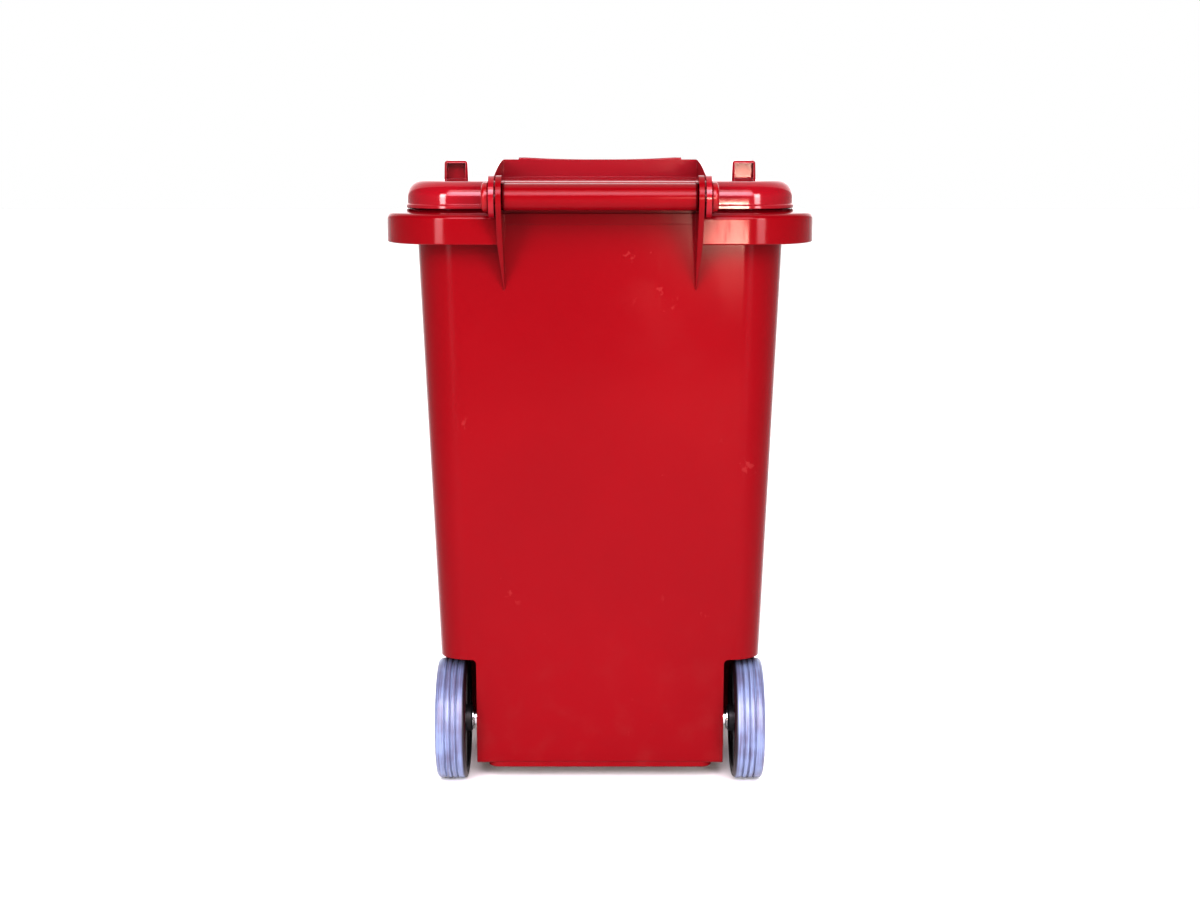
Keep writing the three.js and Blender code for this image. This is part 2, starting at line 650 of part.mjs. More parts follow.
function tyre(sign) {
  const outside = WHEEL_INSIDE + TYRE_WIDTH;
  const treadInside = WHEEL_INSIDE + TYRE_SHOULDER;
  const pitch = (TYRE_WIDTH - 2 * TYRE_SHOULDER) / (TREAD_GROOVES + 1);
  const grooves = Array.from({ length: TREAD_GROOVES }, (_, i) => {
    const x = treadInside + pitch * (i + 1);
    return [
      [WHEEL_RADIUS, x - GROOVE_WIDTH / 2],
      [WHEEL_RADIUS - GROOVE_DEPTH, x],
      [WHEEL_RADIUS, x + GROOVE_WIDTH / 2],
    ];
  }).flat();
  const profile = [
    [TYRE_INNER_RADIUS, WHEEL_INSIDE],
    [WHEEL_RADIUS - TYRE_SHOULDER, WHEEL_INSIDE],
    [WHEEL_RADIUS - 1, treadInside - 1.2],
    [WHEEL_RADIUS, treadInside],
    ...grooves,
    [WHEEL_RADIUS, outside - TYRE_SHOULDER],
    [WHEEL_RADIUS - 1, outside - TYRE_SHOULDER + 1.2],
    [WHEEL_RADIUS - TYRE_SHOULDER, outside],
    [TYRE_INNER_RADIUS, outside],
    [TYRE_INNER_RADIUS, WHEEL_INSIDE],
  ];
  return turned(profile.map(([radius, x]) => [radius, sign * x]), AXLE_Y, AXLE_Z, 48);
}

function hub(sign) {
  const bore = AXLE_RADIUS + RUNNING_GAP + BUSH_WALL + SEAT_GAP;
  const rimRadius = TYRE_INNER_RADIUS - SEAT_GAP;
  const seat = rimRadius - HUB_RIM_WALL;
  const half = HUB_RIM_WIDTH / 2;
  const profile = [
    [bore, HUB_INSIDE],
    [HUB_BOSS_RADIUS, HUB_INSIDE],
    [HUB_BOSS_RADIUS, HUB_WEB_X - HUB_WEB / 2],
    [seat, HUB_WEB_X - HUB_WEB / 2],
    [seat, WHEEL_MID - half],
    [rimRadius, WHEEL_MID - half],
    [rimRadius, WHEEL_MID + half],
    [seat, WHEEL_MID + half],
    [seat, HUB_WEB_X + HUB_WEB / 2],
    [HUB_BOSS_RADIUS, HUB_WEB_X + HUB_WEB / 2],
    [HUB_BOSS_RADIUS, HUB_OUTSIDE],
    [bore, HUB_OUTSIDE],
    [bore, HUB_INSIDE],
  ];
  const body = turned(profile.map(([radius, x]) => [radius, sign * x]), AXLE_Y, AXLE_Z);
  const ribs = Array.from({ length: HUB_RIBS }, (_, i) => {
    const made = new THREE.BoxGeometry(HUB_RIB_WIDTH, HUB_RIB_THICK, seat - HUB_BOSS_RADIUS + 3);
    made.translate(0, 0, (seat + HUB_BOSS_RADIUS) / 2).rotateX(((i + 0.25) * 2 * Math.PI) / HUB_RIBS);
    return solid(made.translate(sign * HUB_WEB_X, AXLE_Y, AXLE_Z));
  });
  return joined(body, ...ribs);
}

const bush = (sign) => {
  const inner = AXLE_RADIUS + RUNNING_GAP;
  return sleeve(sign, inner + BUSH_WALL, inner, HUB_INSIDE, HUB_OUTSIDE - HUB_INSIDE);
};

const spacer = (sign) => sleeve(sign, SPACER_RADIUS, AXLE_RADIUS + SEAT_GAP, SPACER_INSIDE, SPACER_LENGTH);

const washer = (sign, x) => sleeve(sign, WASHER_RADIUS, AXLE_RADIUS + SEAT_GAP, x, WASHER_THICK);

// The push-on nut that holds the wheel: a coned steel ring.
function retainer(sign) {
  const bore = AXLE_RADIUS + SEAT_GAP;
  const outside = RETAINER_INSIDE + RETAINER_LENGTH;
  const profile = [
    [bore + 1.2, RETAINER_INSIDE],
    [RETAINER_RADIUS, RETAINER_INSIDE],
    [RETAINER_RADIUS, RETAINER_INSIDE + 1],
    [bore + 2, outside],
    [bore, outside],
    [bore + 1.2, RETAINER_INSIDE],
  ];
  return turned(profile.map(([radius, x]) => [radius, sign * x]), AXLE_Y, AXLE_Z, SMALL_STEPS);
}

// The domed plastic cap that snaps over the hub's boss and hides the nut.
function hubCap(sign) {
  const inner = HUB_BOSS_RADIUS + SEAT_GAP;
  const outer = inner + CAP_WALL;
  const from = HUB_OUTSIDE - CAP_GRIP;
  const profile = [
    [inner, from],
    [outer, from],
    [outer, CAP_OUTSIDE - 4],
    [outer - 1.5, CAP_OUTSIDE - 1.2],
    [outer - 5, CAP_OUTSIDE],
    [0, CAP_OUTSIDE],
    [0, CAP_OUTSIDE - CAP_WALL],
    [inner - 4, CAP_OUTSIDE - CAP_WALL],
    [inner, CAP_OUTSIDE - CAP_WALL - 3],
    [inner, from],
  ];
  return turned(profile.map(([radius, x]) => [radius, sign * x]), AXLE_Y, AXLE_Z, SMALL_STEPS);
}

// ---------------------------------------------------------------- the assembly

const plastic = (color, roughness) => new THREE.MeshStandardMaterial({ color, roughness, metalness: 0 });
const materials = {
  tub: plastic(0xb3121c, 0.35),
  lid: plastic(0xb3101a, 0.2),
  pin: plastic(0xb3121c, 0.35),
  hub: plastic(0x17171a, 0.5),
  tyre: plastic(0x85839a, 0.6),
  bush: plastic(0xd8d6cc, 0.4),
  steel: new THREE.MeshStandardMaterial({ color: 0xb9bcc0, roughness: 0.3, metalness: 1 }),
};

const bin = new THREE.Group();

function put(name, shape, material) {
  const mesh = new THREE.Mesh(geometryOf(shape), material);
  mesh.name = name;
  bin.add(mesh);
}

put('tub', tub(), materials.tub);
put('lid', lid(), materials.lid);
put('axle', axle(), materials.steel);
for (const [side, sign] of [['left', 1], ['right', -1]]) {
  put(`hinge_pin_${side}`, hingePin(sign), materials.pin);
  put(`tyre_${side}`, tyre(sign), materials.tyre);
  put(`wheel_hub_${side}`, hub(sign), materials.hub);
  put(`hub_bush_${side}`, bush(sign), materials.bush);
  put(`axle_spacer_${side}`, spacer(sign), materials.steel);
  put(`inner_washer_${side}`, washer(sign, INNER_WASHER_INSIDE), materials.steel);
  put(`outer_washer_${side}`, washer(sign, WASHER_INSIDE), materials.steel);
  put(`axle_retainer_${side}`, retainer(sign), materials.steel);
  put(`hub_cap_${side}`, hubCap(sign), materials.hub);
}

export default bin;
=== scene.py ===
"""The looks of a small two-wheeled refuse bin: its red mouldings, its wheels and its metalwork.

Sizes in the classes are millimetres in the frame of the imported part: +Z up, the ground at Z = 0, +Y to the
rear, where the handle and the wheels are, and +X to the side whose nodes are named left.
"""

from __future__ import annotations

import json
import logging
import math
from collections.abc import Callable, Iterable, Mapping, Sequence
from dataclasses import dataclass, field
from enum import Enum
from typing import Any

import bmesh
import bpy
from mathutils import Matrix, Vector


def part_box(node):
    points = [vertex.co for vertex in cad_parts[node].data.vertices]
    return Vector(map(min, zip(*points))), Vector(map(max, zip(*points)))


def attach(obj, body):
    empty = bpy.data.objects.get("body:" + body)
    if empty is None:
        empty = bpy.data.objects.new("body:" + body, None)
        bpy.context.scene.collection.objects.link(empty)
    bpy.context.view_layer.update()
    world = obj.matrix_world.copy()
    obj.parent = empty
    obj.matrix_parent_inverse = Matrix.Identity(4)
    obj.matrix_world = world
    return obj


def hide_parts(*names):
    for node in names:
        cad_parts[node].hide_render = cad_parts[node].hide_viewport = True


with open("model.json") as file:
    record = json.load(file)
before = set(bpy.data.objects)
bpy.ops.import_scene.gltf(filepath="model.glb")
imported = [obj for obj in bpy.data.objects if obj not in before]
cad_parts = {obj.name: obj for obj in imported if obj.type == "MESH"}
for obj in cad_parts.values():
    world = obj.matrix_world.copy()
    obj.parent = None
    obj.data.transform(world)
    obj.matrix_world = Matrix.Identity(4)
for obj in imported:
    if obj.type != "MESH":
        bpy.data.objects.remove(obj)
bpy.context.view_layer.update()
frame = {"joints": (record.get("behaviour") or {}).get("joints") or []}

MM = 0.001
CORNER_STEPS = 14
ARC_STEPS = 40
BEYOND = 20.0  # how far a cutting tool runs past the widest part
ALMOST_NONE = 1e-3  # radius of a ring on the axis, which is merged to a point
WHITE = (1.0, 1.0, 1.0)
LOG = logging.getLogger("bin")

Colour = tuple[float, float, float]
Height = float | Callable[[float, float], float]
Profile = Sequence[tuple[float, float]]


class Side(Enum):
    """The two sides of the bin, with the sign of X on each."""

    LEFT = 1
    RIGHT = -1

    @property
    def word(self) -> str:
        """The side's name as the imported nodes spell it."""
        return self.name.lower()

    def span(self, inside: float, outside: float) -> tuple[float, float]:
        """Distances from the middle as X values on this side, the lower first."""
        return (inside, outside) if self is Side.LEFT else (-outside, -inside)


class Cut(Enum):
    """How one solid is combined with another."""

    JOIN = "UNION"
    REMOVE = "DIFFERENCE"


# ---------------------------------------------------------------------------- solids


def linked(name: str, data: bpy.types.ID) -> bpy.types.Object:
    """Adds an object to the scene.

    Args:
        name: The object's name.
        data: Its mesh, light or camera.

    Returns:
        The new object.
    """
    made = bpy.data.objects.new(name, data)
    bpy.context.scene.collection.objects.link(made)
    return made


def keep_mesh(name: str, shape: bmesh.types.BMesh) -> bpy.types.Object:
    """Turns a bmesh in millimetres into a linked object in metres.

    Args:
        name: The object's name.
        shape: The bmesh, which is freed.

    Returns:
        The new object, with its faces pointing out.
    """
    bmesh.ops.remove_doubles(shape, verts=shape.verts, dist=1e-4)
    bmesh.ops.recalc_face_normals(shape, faces=shape.faces)
    bmesh.ops.scale(shape, vec=(MM, MM, MM), verts=shape.verts)
    mesh = bpy.data.meshes.new(name)
    shape.to_mesh(mesh)
    shape.free()
    return linked(name, mesh)


def skinned(name: str, rings: Sequence[Sequence[Vector]], closed: bool = False) -> bpy.types.Object:
    """Skins a solid over rings with equal numbers of points.

    Args:
        name: The object's name.
        rings: The rings in order.
        closed: Joins the last ring to the first, in place of a cap on each.

    Returns:
        The solid.
    """
    shape = bmesh.new()
    rows = [[shape.verts.new(point) for point in ring] for ring in rings]
    pairs = list(zip(rows, rows[1:] + rows[:1])) if closed else list(zip(rows, rows[1:]))
    for low, high in pairs:
        for i in range(len(low)):
            j = (i + 1) % len(low)
            shape.faces.new((low[i], low[j], high[j], high[i]))
    if not closed:
        shape.faces.new(rows[0])
        shape.faces.new(rows[-1])
    return keep_mesh(name, shape)


def turned(name: str, profile: Profile, y: float, z: float, steps: int = 96) -> bpy.types.Object:
    """Turns a closed profile round an axis along X.

    Args:
        name: The object's name.
        profile: Points of (radius, x); the last joins the first.
        y: The axis' place along Y.
        z: The axis' height.
        steps: Facets in a full turn.

    Returns:
        The solid of revolution.
    """
    angles = [2 * math.pi * i / steps for i in range(steps)]
    sizes = [(max(radius, ALMOST_NONE), x) for radius, x in profile]
    rings = [[Vector((x, y + r * math.cos(a), z + r * math.sin(a))) for a in angles] for r, x in sizes]
    on_axis = profile[0][0] == 0 and profile[-1][0] == 0
    return skinned(name, rings, closed=not on_axis)


def drill(name: str, radius: float, reach: float, axis: Vector) -> bpy.types.Object:
    """A cylinder along X that reaches equally far to both sides, used to cut holes."""
    return turned(name, [(0, -reach), (radius, -reach), (radius, reach), (0, reach)], axis.y, axis.z, 64)


def on_side(name: str, side: Side, profile: Profile, axis: Vector, steps: int = 96) -> bpy.types.Object:
    """Turns a profile that is drawn for the left side, on either side."""
    return turned(name, [(radius, side.value * x) for radius, x in profile], axis.y, axis.z, steps)


def slab(name: str, low: Sequence[float], high: Sequence[float]) -> bpy.types.Object:
    """A box, used to cut and to join.

    Args:
        name: The object's name.
        low: Its lowest corner.
        high: Its highest corner.

    Returns:
        The box.
    """
    x0, y0, z0 = low
    x1, y1, z1 = high
    rings = [[Vector(p) for p in ((x0, y0, z), (x1, y0, z), (x1, y1, z), (x0, y1, z))] for z in (z0, z1)]
    return skinned(name, rings)


def plate(name: str, side_view: Profile, x0: float, x1: float, rounding: float = 0.0) -> bpy.types.Object:
    """A shape drawn in Y and Z, made thick along X.

    Args:
        name: The object's name.
        side_view: The outline's (y, z) points.
        x0: The lower face along X.
        x1: The upper face along X.
        rounding: Radius of the edges round both faces.

    Returns:
        The plate.
    """
    shape = bmesh.new()
    low = [shape.verts.new((x0, y, z)) for y, z in side_view]
    high = [shape.verts.new((x1, y, z)) for y, z in side_view]
    faces = [shape.faces.new(low), shape.faces.new(high)]
    for i in range(len(low)):
        j = (i + 1) % len(low)
        shape.faces.new((low[i], low[j], high[j], high[i]))
    if rounding:
        edges = [edge for face in faces for edge in face.edges]
        bmesh.ops.bevel(
            shape, geom=edges, offset=rounding, segments=4, profile=0.5, affect="EDGES", clamp_overlap=True
        )
    return keep_mesh(name, shape)


def combined(base: bpy.types.Object, steps: Iterable[tuple[Cut, bpy.types.Object]]) -> bpy.types.Object:
    """Joins solids to a solid and removes others from it, in order.

    Args:
        base: The solid that changes.
        steps: What to do with each tool; the tools are used up.

    Returns:
        The changed base.
    """
    for cut, tool in steps:
        modifier = base.modifiers.new(cut.name, "BOOLEAN")
        modifier.operation = cut.value
        modifier.object = tool
        modifier.solver = "MANIFOLD"
        apply_modifiers(base)
        bpy.data.objects.remove(tool)
    return base


def apply_modifiers(piece: bpy.types.Object) -> None:
    """Writes a piece's modifiers into its mesh.

    Args:
        piece: The piece.
    """
    graph = bpy.context.evaluated_depsgraph_get()
    mesh = bpy.data.meshes.new_from_object(piece.evaluated_get(graph))
    piece.modifiers.clear()
    piece.data = mesh


def smoothed(piece: bpy.types.Object, angle: float = 32.0) -> bpy.types.Object:
    """Shades a piece smooth, and lets large faces keep their direction.

    Args:
        piece: The piece.
        angle: Edges sharper than this many degrees stay sharp.

    Returns:
        The same piece.
    """
    piece.data.shade_smooth()
    piece.data.set_sharp_from_angle(angle=math.radians(angle))
    weighted = piece.modifiers.new("even", "WEIGHTED_NORMAL")
    weighted.keep_sharp = True
    weighted.weight = 100
    return piece


def arc(centre: Vector, radius: float, start: float, end: float) -> list[tuple[float, float]]:
    """Points of an arc in Y and Z round a centre, from one angle to another in degrees."""
    turns = [math.radians(start + (end - start) * i / ARC_STEPS) for i in range(ARC_STEPS + 1)]
    return [(centre.y + radius * math.cos(t), centre.z + radius * math.sin(t)) for t in turns]


def quarter_turn(steps: int) -> list[float]:
    """Angles from nothing to a right angle, in radians."""
    return [math.pi / 2 * i / steps for i in range(steps + 1)]


@dataclass(frozen=True)
class Outline:
    """A rounded rectangle seen from above, centred on X = 0."""

    half: float
    front: float
    rear: float
    corner: float

    def inset(self, by: float) -> Outline:
        """The outline moved inwards all round."""
        return Outline(self.half - by, self.front + by, self.rear - by, max(self.corner - by, 1.0))

    def ring(self, height: Height) -> list[Vector]:
        """The outline's points.

        Args:
            height: One height, or a function of x and y.

        Returns:
            The points, counter-clockwise.
        """
        across, along = self.half - self.corner, self.corner
        centres = [
            (across, self.rear - along),
            (-across, self.rear - along),
            (-across, self.front + along),
            (across, self.front + along),
        ]
        points = []
        for quarter, (cx, cy) in enumerate(centres):
            for step in range(CORNER_STEPS + 1):
                turn = (quarter + step / CORNER_STEPS) * math.pi / 2
                x, y = cx + self.corner * math.cos(turn), cy + self.corner * math.sin(turn)
                points.append(Vector((x, y, height(x, y) if callable(height) else height)))
        return points


def rounded_over(radius: float, steps: int = 5) -> list[tuple[float, float]]:
    """Pairs of (inset, drop) over a rounded edge, from its lower end to its upper one."""
    return [(radius * (1 - math.cos(t)), radius * (1 - math.sin(t))) for t in quarter_turn(steps)]


# ---------------------------------------------------------------------------- shader maths


class Graph:
    """The node tree of a material or of the surround."""

    def __init__(self, holder: bpy.types.Material | bpy.types.World) -> None:
        """Empties the tree.

        Args:
            holder: The material or the world that has it.
        """
        holder.use_nodes = True
        self.tree = holder.node_tree
        self.tree.nodes.clear()

    def node(self, kind: str, settings: Mapping[str, Any], inputs: Mapping[str | int, Any]) -> bpy.types.Node:
        """Makes a node.

        Args:
            kind: The node's type, without its ShaderNode prefix.
            settings: Attributes that are set first.
            inputs: Values, or sockets to link, by the name or number of the input.

        Returns:
            The node.
        """
        made = self.tree.nodes.new("ShaderNode" + kind)
        for key, value in settings.items():
            setattr(made, key, value)
        for key, value in inputs.items():
            if isinstance(value, Socket):
                self.tree.links.new(value.socket, made.inputs[key])
            else:
                made.inputs[key].default_value = value
        return made

    def out(self, node: bpy.types.Node, name: str | int = 0) -> Socket:
        """One of a node's outputs, ready for maths."""
        return Socket(self, node.outputs[name])

    def mix(self, share: Socket | float, a: Socket | Colour, b: Socket | Colour) -> Socket:
        """A colour between a and b."""
        ends = [end if isinstance(end, Socket) else (*end, 1.0) for end in (a, b)]
        return self.out(self.node("Mix", {"data_type": "RGBA"}, {0: share, 6: ends[0], 7: ends[1]}), 2)

    def place(self) -> Socket:
        """The piece's own coordinates, in metres."""
        return self.out(self.node("TexCoord", {}, {}), "Object")

    def noise(self, scale: float, detail: float = 3.0, at: Socket | None = None) -> Socket:
        """Smooth noise from 0 to 1, with its middle near a half."""
        inputs = {"Vector": at or self.place(), "Scale": scale, "Detail": detail}
        return self.out(self.node("TexNoise", {}, inputs), "Fac")

    def stretched(self, x: float, y: float, z: float) -> Socket:
        """The piece's coordinates, scaled along each axis."""
        node = self.node("VectorMath", {"operation": "MULTIPLY"}, {0: self.place(), 1: (x, y, z)})
        return self.out(node, "Vector")

    def axis(self, which: str) -> Socket:
        """One coordinate of the piece, in metres."""
        return self.out(self.node("SeparateXYZ", {}, {0: self.place()}), which)

    def between(self, value: Socket, low: float, high: float) -> Socket:
        """A value's place between two others, smoothed and held to 0 and 1."""
        inputs = {"Value": value, "From Min": low, "From Max": high}
        return self.out(self.node("MapRange", {"interpolation_type": "SMOOTHSTEP"}, inputs))

    def fading(self, value: Socket, start: float, end: float, least: float) -> Socket:
        """A strength that is 1 up to the start and falls evenly to the least at the end."""
        inputs = {"Value": value, "From Min": start, "From Max": end, "To Min": 1.0, "To Max": least}
        return self.out(self.node("MapRange", {}, inputs))


class Socket:
    """An output socket that Python's operators work on."""

    def __init__(self, graph: Graph, socket: bpy.types.NodeSocket) -> None:
        """Wraps a socket of a graph."""
        self.graph = graph
        self.socket = socket

    def maths(self, operation: str, a: Socket | float, b: Socket | float) -> Socket:
        """A Math node on two values."""
        node = self.graph.node("Math", {"operation": operation}, {0: a, 1: b})
        return Socket(self.graph, node.outputs[0])

    def __add__(self, other: Socket | float) -> Socket:
        """Sum."""
        return self.maths("ADD", self, other)

    def __radd__(self, other: float) -> Socket:
        """Sum with a number on the left."""
        return self.maths("ADD", other, self)

    def __sub__(self, other: Socket | float) -> Socket:
        """Difference."""
        return self.maths("SUBTRACT", self, other)

    def __rsub__(self, other: float) -> Socket:
        """Difference from a number on the left."""
        return self.maths("SUBTRACT", other, self)

    def __mul__(self, other: Socket | float) -> Socket:
        """Product."""
        return self.maths("MULTIPLY", self, other)

    def __rmul__(self, other: float) -> Socket:
        """Product with a number on the left."""
        return self.maths("MULTIPLY", other, self)

    def __abs__(self) -> Socket:
        """Size without the sign."""
        return self.maths("ABSOLUTE", self, 0.0)


def surface(name: str, inputs: Callable[[Graph], dict[str, Any]]) -> bpy.types.Material:
    """Makes a material of one principled shader.

    Args:
        name: The material's name.
        inputs: What gives the shader's inputs, from the material's graph.

    Returns:
        The material.
    """
    material = bpy.data.materials.new(name)
    graph = Graph(material)
    output = graph.node("OutputMaterial", {}, {})
    shader = graph.node("BsdfPrincipled", {}, inputs(graph))
    graph.tree.links.new(shader.outputs[0], output.inputs[0])
    return material


@dataclass(frozen=True)
class Finish:
    """What all the bin's finishes share: a clouded colour, its roughness, and the relief under both."""

    name: str
    colour: Colour
    shade: Colour
    roughness: float
    metallic: float = 0.0
    specular: float = 0.5
    edge: float = 0.0009

    def colours(self, graph: Graph) -> Socket:
        """The colour over the surface."""
        return graph.mix(graph.between(graph.noise(7.0), 0.3, 0.7), self.shade, self.colour)

    def roughnesses(self, graph: Graph) -> Socket:
        """The roughness over the surface."""
        return self.roughness + 0.08 * (graph.noise(60.0) - 0.5)

    def relief(self, graph: Graph) -> list[tuple[Socket, float]]:
        """Heights, each with its depth in metres."""
        return [(graph.noise(900.0, 2.0), 0.00002)]

    def inputs(self, graph: Graph) -> dict[str, Any]:
        """The inputs of the shader.

        Args:
            graph: The material's graph.

        Returns:
            Values and sockets by the input's name.
        """
        normal = graph.out(graph.node("Bevel", {"samples": 4}, {"Radius": self.edge}))
        for height, depth in self.relief(graph):
            bump = {"Height": height, "Distance": depth, "Strength": 1.0, "Normal": normal}
            normal = graph.out(graph.node("Bump", {}, bump))
        return {
            "Base Color": self.colours(graph),
            "Roughness": self.roughnesses(graph),
            "Metallic": self.metallic,
            "Specular IOR Level": self.specular,
            "Normal": normal,
        }

    def material(self) -> bpy.types.Material:
        """Builds the material."""
        return surface(self.name, self.inputs)


@dataclass(frozen=True)
class MouldedPlastic(Finish):
    """Injection-moulded plastic: slightly wavy, mottled, with rubbed patches, scuffs and dust low down."""

    wave: float = 0.0006
    mottle: float = 0.5
    rubbed: float = 0.1
    scuffs: float = 0.075
    scuff_colour: Colour = (0.5, 0.16, 0.15)
    dust: float = 0.0
    dust_colour: Colour = (0.23, 0.15, 0.12)

    def colours(self, graph: Graph) -> Socket:
        """Pigment that clouds and streaks with the melt's flow.

        Args:
            graph: The material's graph.

        Returns:
            The colour, with scuffs and dust over it.
        """
        cloud = graph.between(graph.noise(5.0, 4.0), 0.32, 0.68)
        flow = graph.noise(9.0, 5.0, graph.stretched(1.0, 1.0, 0.25))
        share = (1.0 - self.mottle) + self.mottle * (0.65 * cloud + 0.35 * flow)
        base = graph.mix(share, self.shade, self.colour)
        patch = graph.between(graph.noise(13.0, 3.0), 0.6, 0.66)
        knocks = graph.between(graph.noise(85.0, 6.0), 0.62, 0.68) * patch
        low = 1.0 - graph.between(graph.axis("Z"), 0.02, 0.22)
        grime = low * graph.between(graph.noise(38.0, 6.0), 0.45, 0.75)
        marked = graph.mix(self.scuffs * knocks, base, self.scuff_colour)
        return graph.mix(self.dust * grime, marked, self.dust_colour)

    def roughnesses(self, graph: Graph) -> Socket:
        """Handled and rubbed patches are duller than the rest.

        Args:
            graph: The material's graph.

        Returns:
            The roughness.
        """
        patch = graph.between(graph.noise(14.0, 5.0), 0.48, 0.72)
        lines = graph.noise(160.0, 2.0, graph.stretched(1.0, 1.0, 0.12))
        scratch = graph.between(lines, 0.62, 0.72)
        return self.roughness + self.rubbed * (patch + 0.6 * scratch) + 0.03 * (graph.noise(300.0) - 0.5)

    def relief(self, graph: Graph) -> list[tuple[Socket, float]]:
        """Long waves left by cooling, and a fine grain."""
        return [(graph.noise(6.5, 1.0), self.wave), (graph.noise(750.0, 2.0), 0.000012)]


@dataclass(frozen=True)
class TyreRubber(Finish):
    """Blue-grey rubber whose tread is scuffed along its ridges, with painted shade on the side towards the
    tub.
    """

    # painted shade: a near-black colour for the tyre's side towards the tub, where shade falls, and where it
    # starts and ends along X
    tub_side_painted_shade: Colour = (0.008, 0.003, 0.006)
    painted_shade_from: float = 0.1405
    painted_shade_to: float = 0.143

    def colours(self, graph: Graph) -> Socket:
        """Dull rubber with pale scuffs that run round the tread.

        Args:
            graph: The material's graph.

        Returns:
            The colour, with painted shade darkening the side towards the tub.
        """
        streak = graph.noise(1.0, 5.0, graph.stretched(620.0, 16.0, 16.0))
        patch = graph.noise(38.0, 4.0)
        share = graph.between(0.6 * streak + 0.4 * patch, 0.38, 0.62)
        tread = graph.mix(share, self.shade, self.colour)
        # painted shade: the tyre's side towards the tub is darkened in its colour, standing in for shade
        # there
        side = graph.between(abs(graph.axis("X")), self.painted_shade_from, self.painted_shade_to)
        return graph.mix(side, self.tub_side_painted_shade, tread)

    def roughnesses(self, graph: Graph) -> Socket:
        """Polished where the tread has run."""
        return self.roughness + 0.22 * (graph.noise(45.0, 4.0) - 0.5)

    def relief(self, graph: Graph) -> list[tuple[Socket, float]]:
        """Fine ridges round the tread and small nicks."""
        ridges = graph.noise(1.0, 3.0, graph.stretched(900.0, 6.0, 6.0))
        return [(ridges, 0.00025), (graph.noise(420.0, 3.0), 0.00008)]


@dataclass(frozen=True)
class TurnedSteel(Finish):
    """Zinc-plated steel with fine turning lines."""

    def colours(self, graph: Graph) -> Socket:
        """Plating with faint dull blooms."""
        return graph.mix(graph.between(graph.noise(120.0, 5.0), 0.5, 0.75), self.colour, self.shade)

    def relief(self, graph: Graph) -> list[tuple[Socket, float]]:
        """Turning lines round the axis."""
        return [(graph.noise(1.0, 2.0, graph.stretched(4200.0, 3.0, 3.0)), 0.00002)]


@dataclass(frozen=True)
class Finishes:
    """Every finish of the bin, by the material slot that it stands for."""

    tub: Finish = MouldedPlastic(
        "tub_red", (0.15, 0.0005, 0.0045), (0.12, 0.0005, 0.0037), 0.12, specular=0.14, rubbed=0.07, dust=0.03
    )
    lid: Finish = MouldedPlastic(
        "lid_red", (0.19, 0.0016, 0.009), (0.145, 0.0016, 0.008), 0.11, specular=0.4, wave=0.0003, rubbed=0.04
    )
    pin: Finish = MouldedPlastic("pin_red", (0.2, 0.001, 0.005), (0.17, 0.001, 0.004), 0.2, specular=0.35)
    tyre: Finish = TyreRubber("tyre_grey", (0.155, 0.195, 0.31), (0.085, 0.085, 0.145), 0.36)
    hub: Finish = Finish("hub_black", (0.012, 0.011, 0.013), (0.006, 0.006, 0.007), 0.42)
    bush: Finish = Finish("bush_white", (0.70, 0.69, 0.62), (0.58, 0.56, 0.48), 0.4)
    steel: Finish = TurnedSteel("steel", (0.72, 0.73, 0.74), (0.52, 0.53, 0.52), 0.22, metallic=1.0)


class Dresser:
    """Hands out each finish's material, and puts pieces on their bodies."""

    def __init__(self, finishes: Finishes) -> None:
        """Builds every material once."""
        self.materials = {finish.name: finish.material() for finish in vars(finishes).values()}

    def dress(self, piece: bpy.types.Object, slot: str, body: str, *nodes: str) -> None:
        """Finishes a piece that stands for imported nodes.

        Args:
            piece: The piece, in place.
            slot: The record's material slot.
            body: The body it rides on.
            nodes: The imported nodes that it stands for.
        """
        piece.data.materials.clear()
        piece.data.materials.append(self.materials[slot])
        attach(piece, body)
        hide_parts(*nodes)
        LOG.info("%s: %d faces, %s on %s", piece.name, len(piece.data.polygons), slot, body)


# ---------------------------------------------------------------------------- the bin's key places


def node_box(node: str) -> tuple[Vector, Vector]:
    """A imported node's lowest and highest corner, in millimetres."""
    low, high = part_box(node)
    return low / MM, high / MM


def along_x(node: str) -> tuple[float, float, float]:
    """A round node's near and far end from the bin's middle, and its radius.

    Args:
        node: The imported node, which lies along X on one side.

    Returns:
        Both distances and the radius, in millimetres.
    """
    low, high = node_box(node)
    near, far = sorted((abs(low.x), abs(high.x)))
    return near, far, (high.z - low.z) / 2


def joint_place(name: str) -> Vector:
    """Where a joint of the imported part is, in millimetres."""
    joint = next(j for j in frame["joints"] if j["name"] == name)
    return Vector(joint["pos_m"]) / MM


@dataclass
class Places:
    """Places that several sub-assemblies share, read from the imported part."""

    rim_depth: float = 440.0
    axis_rise: float = 14.0
    half: float = field(init=False)
    front: float = field(init=False)
    skirt: float = field(init=False)
    axis: Vector = field(init=False)
    axle: Vector = field(init=False)
    rim_top: float = field(init=False)
    disc: float = field(init=False)

    def __post_init__(self) -> None:
        """Reads the nodes' boxes and the joints."""
        low, high = node_box("tub")
        self.half, self.front = high.x, low.y
        self.skirt = self.front + self.rim_depth
        self.axis = joint_place("lid_hinge")
        self.axle = joint_place("wheel_left_spin")
        self.disc = high.y - self.axis.y
        self.rim_top = self.axis.z - self.axis_rise


# ---------------------------------------------------------------------------- tub


